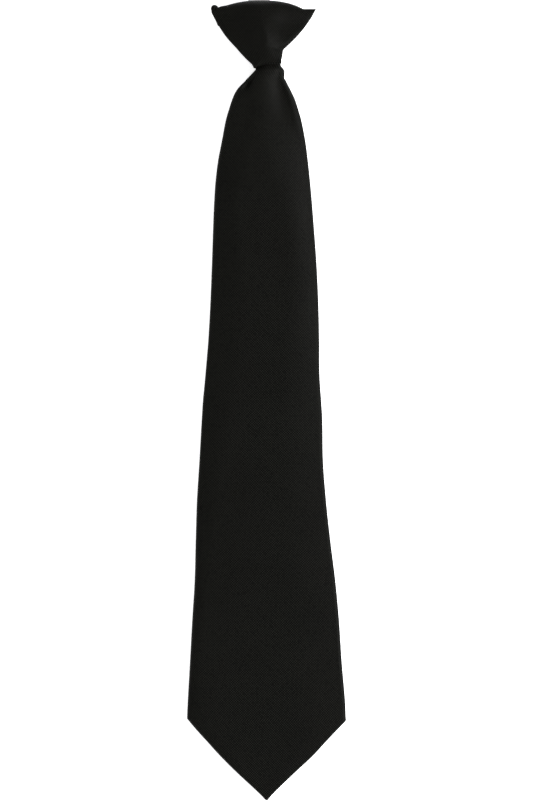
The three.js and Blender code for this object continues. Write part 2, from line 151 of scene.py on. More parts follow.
KNOT_ROWS = (
    KnotRow(0.0, -0.004, -0.002, -0.5, -0.04, 0.3, 1.3, 1.2, 0.0),
    KnotRow(0.04, 0.008, 0.034, -0.2, -0.04, 0.25, 1.2, 1.1, 0.0),
    KnotRow(0.08, 0.034, 0.068, 0.0, -0.05, 0.2, 1.15, 1.05, 0.0),
    KnotRow(0.15, 0.084, 0.124, 0.25, -0.06, 0.2, 1.1, 1.03, 0.05),
    KnotRow(0.22, 0.137, 0.196, 0.5, -0.06, 0.22, 1.05, 1.03, 0.2),
    KnotRow(0.3, 0.202, 0.282, 0.75, -0.05, 0.28, 1.05, 1.05, 0.5),
    KnotRow(0.38, 0.272, 0.376, 0.95, -0.01, 0.35, 1.05, 1.05, 0.68),
    KnotRow(0.46, 0.353, 0.48, 1.0, 0.03, 0.4, 1.05, 1.06, 0.6),
    KnotRow(0.54, 0.446, 0.594, 0.95, 0.08, 0.45, 1.05, 1.1, 0.45),
    KnotRow(0.62, 0.547, 0.719, 0.85, 0.11, 0.48, 1.05, 1.2, 0.28),
    KnotRow(0.67, 0.609, 0.801, 0.75, 0.12, 0.49, 1.1, 1.3, 0.15),
    KnotRow(0.7, 0.643, 0.85, 0.7, 0.12, 0.47, 1.1, 1.4, 0.08),
    KnotRow(0.73, 0.677, 0.902, 0.65, 0.12, 0.44, 1.15, 1.5, 0.03),
    KnotRow(0.76, 0.715, 0.94, 0.58, 0.13, 0.41, 1.2, 1.8, 0.0),
    KnotRow(0.79, 0.754, 0.948, 0.51, 0.14, 0.42, 1.25, 2.0, 0.0),
    KnotRow(0.82, 0.793, 0.954, 0.45, 0.15, 0.44, 1.3, 2.2, 0.0),
    KnotRow(0.88, 0.877, 0.968, 0.3, 0.16, 0.52, 1.7, 2.6, 0.0),
    KnotRow(0.93, 0.948, 0.987, 0.18, 0.15, 0.7, 2.2, 3.0, 0.0),
    KnotRow(0.96, 0.979, 0.994, 0.1, 0.12, 0.9, 2.8, 3.2, 0.0),
    KnotRow(1.0, 1.0, 1.0, 0.0, 0.1, 1.0, 3.0, 3.4, 0.0),
)

EDGE_ROWS = (
    EdgeRow(-0.006, 0.1197, 0.1789),
    EdgeRow(-0.0031, 0.1235, 0.1814),
    EdgeRow(0.0, 0.1323, 0.2009),
    EdgeRow(0.0031, 0.1411, 0.2205),
    EdgeRow(0.0062, 0.1645, 0.2279),
    EdgeRow(0.0092, 0.1865, 0.2268),
    EdgeRow(0.0123, 0.2104, 0.2255),
    EdgeRow(0.0154, 0.2343, 0.2255),
    EdgeRow(0.0169, 0.248, 0.2268),
    EdgeRow(0.0185, 0.259, 0.2394),
    EdgeRow(0.0216, 0.28, 0.2507),
    EdgeRow(0.0246, 0.307, 0.2631),
    EdgeRow(0.0308, 0.3551, 0.2909),
    EdgeRow(0.037, 0.3904, 0.316),
    EdgeRow(0.0431, 0.415, 0.3402),
    EdgeRow(0.0493, 0.4353, 0.3626),
    EdgeRow(0.0647, 0.4758, 0.4031),
    EdgeRow(0.0801, 0.5125, 0.4392),
    EdgeRow(0.1109, 0.5609, 0.4889),
    EdgeRow(0.1416, 0.6096, 0.522),
    EdgeRow(0.1724, 0.6409, 0.5487),
    EdgeRow(0.2032, 0.6585, 0.5718),
    EdgeRow(0.234, 0.6695, 0.5921),
    EdgeRow(0.2956, 0.6865, 0.6293),
    EdgeRow(0.3572, 0.7058, 0.6536),
    EdgeRow(0.4188, 0.7337, 0.6654),
    EdgeRow(0.4496, 0.7549, 0.666),
    EdgeRow(0.4804, 0.7767, 0.6724),
    EdgeRow(0.5112, 0.8006, 0.6905),
    EdgeRow(0.542, 0.8168, 0.705),
    EdgeRow(0.6035, 0.8452, 0.7136),
    EdgeRow(0.6651, 0.8766, 0.7515),
    EdgeRow(0.7267, 0.8918, 0.8057),
    EdgeRow(0.7883, 0.9051, 0.8685),
    EdgeRow(0.8499, 0.9358, 0.9155),
    EdgeRow(0.9115, 0.963, 0.9482),
    EdgeRow(0.9731, 0.9915, 0.9914),
    EdgeRow(0.9977, 1.0, 1.0),
    EdgeRow(1.0008, 0.9985, 1.002),
    EdgeRow(1.0038, 0.9789, 1.0),
    EdgeRow(1.01, 0.9381, 0.9548),
    EdgeRow(1.0223, 0.85, 0.8569),
    EdgeRow(1.0346, 0.7584, 0.7622),
    EdgeRow(1.0593, 0.5739, 0.5736),
    EdgeRow(1.0839, 0.3718, 0.3577),
    EdgeRow(1.1085, 0.1541, 0.1474),
    EdgeRow(1.1209, 0.0485, 0.0496),
    EdgeRow(1.127, 0.0063, 0.0101),
)

RELIEF_ROWS = (
    ReliefRow(-0.006, 0.5, 1.0, 0.1, 0.0, -0.18, 1.1, 1.3),
    ReliefRow(0.0, 0.64, 1.0, 0.36, 0.0, -0.16, 1.1, 1.25),
    ReliefRow(0.003, 0.62, 0.995, 0.48, 0.05, -0.155, 1.12, 1.22),
    ReliefRow(0.0062, 0.59, 0.99, 0.56, 0.14, -0.2, 1.25, 1.2),
    ReliefRow(0.0123, 0.52, 0.985, 0.66, 0.22, -0.19, 1.2, 1.15),
    ReliefRow(0.0246, 0.42, 0.94, 0.74, 0.18, -0.19, 1.2, 1.15),
    ReliefRow(0.0493, 0.33, 0.81, 0.74, 0.24, -0.2, 1.2, 1.15),
    ReliefRow(0.0801, 0.25, 0.62, 0.82, 0.23, -0.15, 1.2, 1.2),
    ReliefRow(0.1109, 0.16, 0.43, 1.02, 0.3, -0.11, 1.25, 1.35),
    ReliefRow(0.1563, 0.06, 0.18, 1.12, 0.41, 0.03, 1.3, 1.6),
    ReliefRow(0.2032, 0.0, 0.04, 1.05, 0.53, 0.3, 1.4, 1.8),
    ReliefRow(0.24, 0.0, 0.0, 0.95, 0.51, 0.36, 1.4, 1.9),
    ReliefRow(0.3572, 0.0, 0.0, 0.82, 0.37, 0.36, 1.4, 1.9),
    ReliefRow(0.5112, 0.0, 0.0, 0.72, 0.48, 0.22, 1.5, 1.65),
    ReliefRow(0.6651, 0.0, 0.0, 0.6, 0.69, 0.26, 1.6, 1.6),
    ReliefRow(0.818, 0.0, 0.0, 0.48, 0.82, 0.32, 1.8, 1.55),
    ReliefRow(0.9731, 0.0, 0.0, 0.36, 0.82, 0.4, 1.9, 1.5),
    ReliefRow(1.0, 0.0, 0.0, 0.33, 0.8, 0.42, 2.0, 1.55),
    ReliefRow(1.0593, 0.0, 0.0, 0.22, 0.7, 0.45, 2.0, 1.7),
    ReliefRow(1.127, 0.0, 0.0, 0.0, 0.6, 0.5, 2.0, 2.0),
)

GATHERS = (
    Gather("pocket", -0.78, 0.28, 0.002, 0.017, 0.04, -1.75),
    Gather("left_valley", -0.5, 0.3, 0.02, 0.07, 0.2, -0.25),
    Gather("right_dip", 0.74, 0.26, 0.001, 0.0085, 0.024, -0.38),
    Gather("right_valley", 0.52, 0.36, 0.004, 0.04, 0.1, -0.36),
    Gather("right_rim", 0.86, 0.14, 0.012, 0.042, 0.11, 0.8),
)

WAVES = (
    Wave(0.5, 61, 23, 0.7),
    Wave(0.3, 137, -71, 2.1),
    Wave(0.2, 233, 149, 4.0),
)


def smooth_column(rows: Sequence[NamedTuple], column: str, at: np.ndarray) -> np.ndarray:
    """Interpolates one column of a table smoothly, held constant past its ends.

    Args:
        rows: The table, whose rows have a column named at.
        column: Name of the column to read.
        at: Places to read it at.

    Returns:
        One value for each place.
    """
    places = np.array([row.at for row in rows])
    values = np.array([getattr(row, column) for row in rows])
    inner = (values[2:] - values[:-2]) / (places[2:] - places[:-2])
    first = (values[1] - values[0]) / (places[1] - places[0])
    last = (values[-1] - values[-2]) / (places[-1] - places[-2])
    slopes = np.concatenate([[first], inner, [last]])
    inside = np.clip(at, places[0], places[-1])
    cell = np.clip(np.searchsorted(places, inside, side="right") - 1, 0, len(places) - 2)
    span = places[cell + 1] - places[cell]
    share = (inside - places[cell]) / span
    square, cube = share**2, share**3
    return (
        values[cell] * (2 * cube - 3 * square + 1)
        + values[cell + 1] * (3 * square - 2 * cube)
        + slopes[cell] * span * (cube - 2 * square + share)
        + slopes[cell + 1] * span * (cube - square)
    )


def smoothstep(value: np.ndarray, low: float, high: float) -> np.ndarray:
    """Rises smoothly from 0 at low to 1 at high."""
    share = np.clip((value - low) / (high - low), 0.0, 1.0)
    return share * share * (3 - 2 * share)


def lerp(a: np.ndarray, b: np.ndarray, share: np.ndarray) -> np.ndarray:
    """Goes straight from a to b."""
    return a + (b - a) * share


def ridge_fall(away: np.ndarray, soft: float) -> np.ndarray:
    """Goes from 0 on a ridge to 1 at its foot, and rounds off the ridge's very top."""
    return (np.sqrt(away**2 + soft**2) - soft) / (math.sqrt(1 + soft**2) - soft)


@dataclass(frozen=True)
class TieSizes:
    """Sizes that the knot, the blade and the clip share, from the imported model's boxes and a few walls."""

    knot_low: tuple = field(default_factory=lambda: tuple(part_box(Node.KNOT.value)[0]))
    knot_high: tuple = field(default_factory=lambda: tuple(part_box(Node.KNOT.value)[1]))
    blade_low: tuple = field(default_factory=lambda: tuple(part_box(Node.BLADE.value)[0]))
    blade_high: tuple = field(default_factory=lambda: tuple(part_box(Node.BLADE.value)[1]))
    clip_low: tuple = field(default_factory=lambda: tuple(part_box(Node.CLIP.value)[0]))
    clip_high: tuple = field(default_factory=lambda: tuple(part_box(Node.CLIP.value)[1]))
    gap: float = 0.3 * MM
    hem_width: float = 15.1 * MM
    hem_shift: float = 0.6 * MM
    hem_slant: float = 2.2 * MM
    hem_drop: float = 2.6 * MM
    hem_curve: float = 4.0
    hem_past: float = 1.2
    knot_wall: float = 1.6 * MM
    side_inset: float = 1.15
    rim_share: float = 0.4
    neck_thick: float = 6.4 * MM
    strap_thick: float = 0.9 * MM

    @property
    def hem_y(self) -> float:
        """Y of the middle of the knot's hem."""
        return self.knot_low[1] + self.hem_slant / 2

    @property
    def hem_high(self) -> float:
        """Y of the hem's right end, its highest place."""
        return self.hem_y + self.hem_slant / 2

    @property
    def knot_top(self) -> float:
        """Y of the highest place of the knot's top fold."""
        return self.knot_high[1]

    def hem_line(self, x: np.ndarray) -> np.ndarray:
        """Y of the knot's hem at each X: it falls to the left in a curve."""
        across = np.clip((x - self.hem_shift) / (self.hem_width / 2), -self.hem_past, 1.0)
        return self.hem_high - self.hem_drop * ((1 - across) / 2) ** self.hem_curve

    @property
    def plate_z(self) -> float:
        """Height of the middle of the strap's plate inside the knot."""
        return self.clip_high[2] - self.strap_thick / 2

    @property
    def neck_z(self) -> float:
        """Height of the underside of the blade's neck."""
        return self.clip_high[2] + self.gap

    @property
    def throat_depth(self) -> float:
        """Depth of the throat over the cloth."""
        return self.neck_z + self.neck_thick + self.gap + self.knot_wall - self.knot_low[2]

    @property
    def rim_z(self) -> float:
        """Height of the knot's sides, where its front and its back meet."""
        return self.knot_low[2] + self.throat_depth * self.rim_share


def new_object(name: str, data: bpy.types.ID) -> bpy.types.Object:
    """Puts a mesh, a light or a camera into the scene as an object at the origin.

    Args:
        name: The object's name.
        data: What the object shows.

    Returns:
        The new object.
    """
    obj = bpy.data.objects.new(name, data)
    bpy.context.scene.collection.objects.link(obj)
    return obj


def closed_rings(rings: np.ndarray) -> np.ndarray:
    """Repeats the first column of rings of points after the last."""
    return np.concatenate([rings, rings[:, :1]], axis=1)


def ring_mesh(
    name: str,
    rings: np.ndarray,
    uvs: np.ndarray,
    cap_first: bool,
    cap_last: bool,
    wear: Optional[np.ndarray] = None,
) -> bpy.types.Object:
    """Makes a closed skin over rings of points.

    Args:
        name: The object's name.
        rings: Points, as rows by columns by 3. Each row is a closed ring.
        uvs: Weave coordinates in metres, as rows by columns plus one by 2, so that a ring's seam has two.
        cap_first: Whether the first ring is closed with a face.
        cap_last: Whether the last ring is closed with a face.
        wear: How much each point is rubbed, as rows by columns, from 0 to 1.

    Returns:
        The new object, at the origin, with its faces pointing outwards.
    """
    rows, columns = rings.shape[:2]
    index = np.arange(rows * columns).reshape(rows, columns)
    following = np.roll(index, -1, axis=1)
    quads = np.stack([index[:-1], following[:-1], following[1:], index[1:]], axis=-1).reshape(-1, 4)
    corner_uvs = np.stack([uvs[:-1, :-1], uvs[:-1, 1:], uvs[1:, 1:], uvs[1:, :-1]], axis=2).reshape(-1, 2)
    faces = quads.tolist()
    loops = [corner_uvs]
    if cap_first:
        faces.append(index[0, ::-1].tolist())
        loops.append(uvs[0, :-1][::-1])
    if cap_last:
        faces.append(index[-1].tolist())
        loops.append(uvs[-1, :-1])
    mesh = bpy.data.meshes.new(name)
    mesh.from_pydata(rings.reshape(-1, 3).tolist(), [], faces)
    layer = mesh.uv_layers.new(name="weave")
    layer.data.foreach_set("uv", np.concatenate(loops).astype(np.float32).ravel())
    rubbed = mesh.attributes.new("rubbed", "FLOAT", "POINT")
    shares = np.zeros(rows * columns) if wear is None else wear.ravel()
    rubbed.data.foreach_set("value", shares.astype(np.float32))
    tidy_mesh(mesh)
    return new_object(name, mesh)


def tidy_mesh(mesh: bpy.types.Mesh) -> None:
    """Merges doubled points, turns the faces outwards and shades them smoothly.

    Args:
        mesh: The mesh to tidy.
    """
    work = bmesh.new()
    work.from_mesh(mesh)
    bmesh.ops.remove_doubles(work, verts=work.verts, dist=MERGE_REACH)
    bmesh.ops.dissolve_degenerate(work, dist=MERGE_REACH / 10, edges=work.edges)
    bmesh.ops.recalc_face_normals(work, faces=work.faces)
    if work.calc_volume(signed=True) < 0:
        bmesh.ops.reverse_faces(work, faces=work.faces)
    for face in work.faces:
        face.smooth = True
    work.to_mesh(mesh)
    work.free()
    mesh.update()


def arc_length(points: np.ndarray) -> np.ndarray:
    """Distance along each row of points, with 0 at its first column."""
    steps = np.linalg.norm(np.diff(points, axis=1), axis=2)
    return np.concatenate([np.zeros((len(points), 1)), np.cumsum(steps, axis=1)], axis=1)


def bake(obj: bpy.types.Object) -> bpy.types.Object:
    """Applies all modifiers of an object and returns it with its final plain mesh.

    Args:
        obj: The object, with its modifiers live.

    Returns:
        The same object, without modifiers.
    """
    graph = bpy.context.evaluated_depsgraph_get()
    mesh = bpy.data.meshes.new_from_object(obj.evaluated_get(graph), depsgraph=graph)
    old = obj.data
    obj.modifiers.clear()
    obj.data = mesh
    if old.users == 0 and isinstance(old, bpy.types.Mesh):
        bpy.data.meshes.remove(old)
    return obj


def smooth_faces(obj: bpy.types.Object) -> None:
    """Shades every face of an object smoothly."""
    for polygon in obj.data.polygons:
        polygon.use_smooth = True


class NodeGraph:
    """Short helper that adds nodes to a tree and links them."""

    MIX_INPUTS = (0, 6, 7)
    MIX_COLOUR = 2

    def __init__(self, tree: bpy.types.NodeTree) -> None:
        """Keeps the tree to build in."""
        self.tree = tree

    def add(self, kind: str, **settings: object) -> bpy.types.Node:
        """Adds a node and sets its properties by name.

        Args:
            kind: The node's type name.
            **settings: Properties of the node.

        Returns:
            The new node.
        """
        node = self.tree.nodes.new(kind)
        for name, value in settings.items():
            setattr(node, name, value)
        return node

    def link(self, source: bpy.types.NodeSocket, target: bpy.types.NodeSocket) -> None:
        """Links one socket to another."""
        self.tree.links.new(source, target)

    def feed(self, value: object, target: bpy.types.NodeSocket) -> None:
        """Links a socket to another, or sets a plain value on it.

        Args:
            value: A socket or a plain value.
            target: The socket that takes it.
        """
        if isinstance(value, bpy.types.NodeSocket):
            self.link(value, target)
        else:
            target.default_value = value

    def math(self, operation: str, *inputs: object) -> bpy.types.NodeSocket:
        """Adds a Math node.

        Args:
            operation: The node's operation.
            *inputs: Sockets or numbers, in the order of the node's inputs.

        Returns:
            The node's output.
        """
        node = self.add("ShaderNodeMath", operation=operation)
        for socket, value in zip(node.inputs, inputs):
            self.feed(value, socket)
        return node.outputs[0]

    def noise(self, vector: bpy.types.NodeSocket, scale: float, detail: float) -> bpy.types.NodeSocket:
        """Adds a Noise texture on a vector and returns its value.

        Args:
            vector: Where the noise is read.
            scale: Its scale.
            detail: Its levels of detail.

        Returns:
            The noise, from 0 to 1.
        """
        node = self.add("ShaderNodeTexNoise")
        self.link(vector, node.inputs["Vector"])
        node.inputs["Scale"].default_value = scale
        node.inputs["Detail"].default_value = detail
        return node.outputs["Fac"]

    def mix(self, share: object, low: object, high: object, blend: str = "MIX") -> bpy.types.NodeSocket:
        """Mixes two colours.

        Args:
            share: 0 gives the first colour, and 1 the second.
            low: First colour, as a socket or four numbers.
            high: Second colour, as a socket or four numbers.
            blend: The node's way of blending.

        Returns:
            The mixed colour.
        """
        node = self.add("ShaderNodeMix", data_type="RGBA", blend_type=blend)
        for place, value in zip(self.MIX_INPUTS, (share, low, high)):
            self.feed(value, node.inputs[place])
        return node.outputs[self.MIX_COLOUR]

    def bump(
        self,
        height: bpy.types.NodeSocket,
        distance: float,
        strength: float,
        shader: bpy.types.Node,
    ) -> None:
        """Feeds a height to a shader's normal.

        Args:
            height: The height, from 0 to 1.
            distance: How high 1 stands.
            strength: Share of the bump that shows.
            shader: The Principled shader.
        """
        node = self.add("ShaderNodeBump")
        node.inputs["Distance"].default_value = distance
        node.inputs["Strength"].default_value = strength
        self.link(height, node.inputs["Height"])
        self.link(node.outputs["Normal"], shader.inputs["Normal"])


def new_material(name: str) -> tuple:
    """Adds a material, and returns it with its node graph and its Principled shader.

    Args:
        name: The material's name.

    Returns:
        The material, its graph and its shader.
    """
    material = bpy.data.materials.new(name)
    material.use_nodes = True
    return material, NodeGraph(material.node_tree), material.node_tree.nodes["Principled BSDF"]


class TwillWeave:
    """Shader node group: yarns crossing on the bias, from a weave coordinate in metres."""

    NAME = "bias_twill_weave"
    MEAN = 0.34
    RIB_TURN = 2 * math.pi / 2.5
    RIB_SWING = 0.06
    CHANCE = (0.9, 0.55)
    PATCH_SCALE = 120.0
    PATCH_SWING = (1.8, 0.62)
    CLOUD_SCALE = 26.0
    YARN_FLANK = (0.12, 0.3)

    @classmethod
    def group(cls) -> bpy.types.NodeTree:
        """Returns the group, which is built once."""
        made = bpy.data.node_groups.get(cls.NAME)
        return made if made else cls._build()

    @classmethod
    def _build(cls) -> bpy.types.NodeTree:
        """Builds the group: outputs are the yarns' height, their tone with painted shade and highlight, and
        slow variation of the cloth.

        Returns:
            The finished group.
        """
        tree = bpy.data.node_groups.new(cls.NAME, "ShaderNodeTree")
        face = tree.interface
        face.new_socket("Weave", in_out="INPUT", socket_type="NodeSocketVector")
        for name in ("Pitch", "Turn"):
            face.new_socket(name, in_out="INPUT", socket_type="NodeSocketFloat")
        for name in ("Height", "Shaded Tone", "Cloud"):
            face.new_socket(name, in_out="OUTPUT", socket_type="NodeSocketFloat")
        graph = NodeGraph(tree)
        source = graph.add("NodeGroupInput")
        target = graph.add("NodeGroupOutput")
        turned = graph.add("ShaderNodeVectorRotate", rotation_type="Z_AXIS")
        graph.link(source.outputs["Weave"], turned.inputs["Vector"])
        graph.link(source.outputs["Turn"], turned.inputs["Angle"])
        parts = graph.add("ShaderNodeSeparateXYZ")
        graph.link(turned.outputs[0], parts.inputs[0])
        warp = graph.math("DIVIDE", parts.outputs[0], source.outputs["Pitch"])
        weft = graph.math("DIVIDE", parts.outputs[1], source.outputs["Pitch"])
        warp_yarn = cls._yarn(graph, warp)
        weft_yarn = cls._yarn(graph, weft)
        height = graph.math("MULTIPLY", warp_yarn, weft_yarn)
        crossing = graph.add("ShaderNodeCombineXYZ")
        graph.link(graph.math("ROUND", warp), crossing.inputs[0])
        graph.link(graph.math("ROUND", weft), crossing.inputs[1])
        chance = graph.add("ShaderNodeTexWhiteNoise", noise_dimensions="2D")
        graph.link(crossing.outputs[0], chance.inputs["Vector"])
        grain = graph.math("MULTIPLY_ADD", chance.outputs["Value"], *cls.CHANCE)
        rib = graph.math("SINE", graph.math("MULTIPLY", weft, cls.RIB_TURN))
        patch = graph.noise(source.outputs["Weave"], cls.PATCH_SCALE, 2.0)
        bold = graph.math("MULTIPLY_ADD", patch, *cls.PATCH_SWING)
        # Painted light at the yarns' scale: the tone follows yarn height, so the crowns get a painted
        # highlight and the gaps painted shade, with a twill rib and random grain on top.
        mean = graph.math("SUBTRACT", height, cls.MEAN)
        swing = graph.math("MULTIPLY", bold, graph.math("MULTIPLY_ADD", rib, cls.RIB_SWING, mean))
        lit = graph.math("MAXIMUM", graph.math("ADD", swing, cls.MEAN), 0.0)
        shaded_tone = graph.math("MULTIPLY", grain, lit)
        cloud = graph.noise(source.outputs["Weave"], cls.CLOUD_SCALE, 3.0)
        graph.link(height, target.inputs["Height"])
        graph.link(shaded_tone, target.inputs["Shaded Tone"])
        graph.link(cloud, target.inputs["Cloud"])
        return tree

    @classmethod
    def _yarn(cls, graph: NodeGraph, place: bpy.types.NodeSocket) -> bpy.types.NodeSocket:
        """Profile of one yarn, with a dark gap, in each whole step of a coordinate.

        Args:
            graph: The graph to add to.
            place: The coordinate across the yarns.

        Returns:
            The yarn's height, from 0 to 1.
        """
        part = graph.math("PINGPONG", graph.math("ADD", place, 0.5), 0.5)
        rise = graph.add("ShaderNodeMapRange", interpolation_type="SMOOTHSTEP")
        graph.link(part, rise.inputs["Value"])
        rise.inputs["From Min"].default_value, rise.inputs["From Max"].default_value = cls.YARN_FLANK
        return rise.outputs["Result"]


@dataclass(frozen=True)
class ClothFinish:
    """Black bias-cut twill with a soft sheen."""

    name: str
    # dark is the painted shade in the gaps between yarns, light the painted highlight on the yarn crowns.
    dark: tuple = (0.00015, 0.00015, 0.00015, 1.0)
    light: tuple = (0.0085, 0.0087, 0.0071, 1.0)
    rubbed: tuple = (0.0042, 0.0042, 0.0038, 1.0)
    pitch: float = 1.0 * MM
    turn: float = math.pi / 4
    relief: float = 0.12 * MM
    roughness: float = 0.44
    fuzz: float = 0.19
    specular: float = 0.026
    relief_strength: float = 0.8
    cloud_swing: float = 0.5
    rub_share: float = 0.5

    def material(self) -> bpy.types.Material:
        """Builds the cloth's material, or returns it where it is made.

        Returns:
            The material.
        """
        made = bpy.data.materials.get(self.name)
        if made:
            return made
        material, graph, shader = new_material(self.name)
        shader.inputs["Specular IOR Level"].default_value = self.specular
        place = graph.add("ShaderNodeUVMap", uv_map="weave")
        weave = graph.add("ShaderNodeGroup", node_tree=TwillWeave.group())
        graph.link(place.outputs["UV"], weave.inputs["Weave"])
        weave.inputs["Pitch"].default_value = self.pitch
        weave.inputs["Turn"].default_value = self.turn
        # Base colour from the weave's painted shade and highlight, then slow random cloud and rubbed folds.
        shaded_tone = graph.mix(weave.outputs["Shaded Tone"], self.dark, self.light)
        cloud_low = 1 - self.cloud_swing / 2
        cloud = graph.math("MULTIPLY_ADD", weave.outputs["Cloud"], self.cloud_swing, cloud_low)
        clouded = graph.mix(1.0, shaded_tone, cloud, "MULTIPLY")
        rubbed = graph.add("ShaderNodeAttribute", attribute_name="rubbed")
        share = graph.math("MULTIPLY", rubbed.outputs["Fac"], self.rub_share)
        graph.link(graph.mix(share, clouded, self.rubbed), shader.inputs["Base Color"])
        rough = graph.math("MULTIPLY_ADD", weave.outputs["Height"], self.fuzz, self.roughness)
        graph.link(rough, shader.inputs["Roughness"])
        graph.bump(weave.outputs["Height"], self.relief, self.relief_strength, shader)
        return material


@dataclass(frozen=True)
class SteelFinish:
    """Nickel plated spring steel, slightly satin, with fine drawing lines and handling marks."""

    name: str = "clip_nickel"
    colour: tuple = (0.25, 0.25, 0.246, 1.0)
    dull: tuple = (0.15, 0.148, 0.143, 1.0)
    roughness: float = 0.24
    line_scale: tuple = (9000.0, 260.0, 260.0)
    line_rough: float = 0.16
    line_depth: float = 0.01 * MM
    mark_scale: float = 340.0
    mark_bold: float = 1.6
    mark_rough: float = 0.1

    def material(self) -> bpy.types.Material:
        """Builds the metal's material.

        Returns:
            The material.
        """
        material, graph, shader = new_material(self.name)
        shader.inputs["Metallic"].default_value = 1.0
        place = graph.add("ShaderNodeTexCoord")
        stretch = graph.add("ShaderNodeMapping")
        stretch.inputs["Scale"].default_value = self.line_scale
        graph.link(place.outputs["Object"], stretch.inputs["Vector"])
        lines = graph.noise(stretch.outputs["Vector"], 1.0, 2.0)
        marks = graph.noise(place.outputs["Object"], self.mark_scale, 4.0)
        share = graph.math("MULTIPLY", graph.math("POWER", marks, 3.0), self.mark_bold)
        graph.link(graph.mix(share, self.colour, self.dull), shader.inputs["Base Color"])
        rough = graph.math("MULTIPLY_ADD", lines, self.line_rough, self.roughness - self.line_rough / 2)
        graph.link(graph.math("MULTIPLY_ADD", marks, self.mark_rough, rough), shader.inputs["Roughness"])
        graph.bump(lines, self.line_depth, 1.0, shader)
        return material


@dataclass(frozen=True)
class ThreadFinish:
    """Black sewing thread, with the twist of its plies."""

    name: str = "black_thread"
    colour: tuple = (0.0045, 0.0045, 0.0045, 1.0)
    light: tuple = (0.009, 0.009, 0.0085, 1.0)
    specular: float = 0.08
    ply_scale: float = 900.0
    ply_rough: tuple = (-0.15, 0.6)

    def material(self) -> bpy.types.Material:
        """Builds the thread's material.

        Returns:
            The material.
        """
        material, graph, shader = new_material(self.name)
        shader.inputs["Specular IOR Level"].default_value = self.specular
        place = graph.add("ShaderNodeTexCoord")
        plies = graph.add("ShaderNodeTexWave", bands_direction="DIAGONAL")
        plies.inputs["Scale"].default_value = self.ply_scale
        graph.link(place.outputs["Object"], plies.inputs["Vector"])
        graph.link(graph.mix(plies.outputs["Fac"], self.colour, self.light), shader.inputs["Base Color"])
        rough = graph.math("MULTIPLY_ADD", plies.outputs["Fac"], *self.ply_rough)
        graph.link(rough, shader.inputs["Roughness"])
        return material


@dataclass(frozen=True)
class FloorFinish:
    """Plain pale floor with a barely seen mottle."""

    name: str = "pale_floor"
    low: tuple = (0.86, 0.86, 0.86, 1.0)
    high: tuple = (0.9, 0.9, 0.9, 1.0)
    glow: float = 0.6
    roughness: float = 0.9
    specular: float = 0.1
    mottle_scale: float = 6.0

    def material(self) -> bpy.types.Material:
        """Builds the floor's material.

        Returns:
            The material.
        """
        material, graph, shader = new_material(self.name)
        shader.inputs["Roughness"].default_value = self.roughness
        shader.inputs["Specular IOR Level"].default_value = self.specular
        place = graph.add("ShaderNodeTexCoord")
        mottle = graph.noise(place.outputs["Object"], self.mottle_scale, 3.0)
        graph.link(graph.mix(mottle, self.low, self.high), shader.inputs["Base Color"])
        shader.inputs["Emission Color"].default_value = (1.0, 1.0, 1.0, 1.0)
        shader.inputs["Emission Strength"].default_value = self.glow
        return material


class StitchSizes(NamedTuple):
    """One row's spacing, the length and thickness of its stitches, their slant and how far it wanders."""

    spacing: float
    length: float
    thread: float
    slant: float
    wander: float


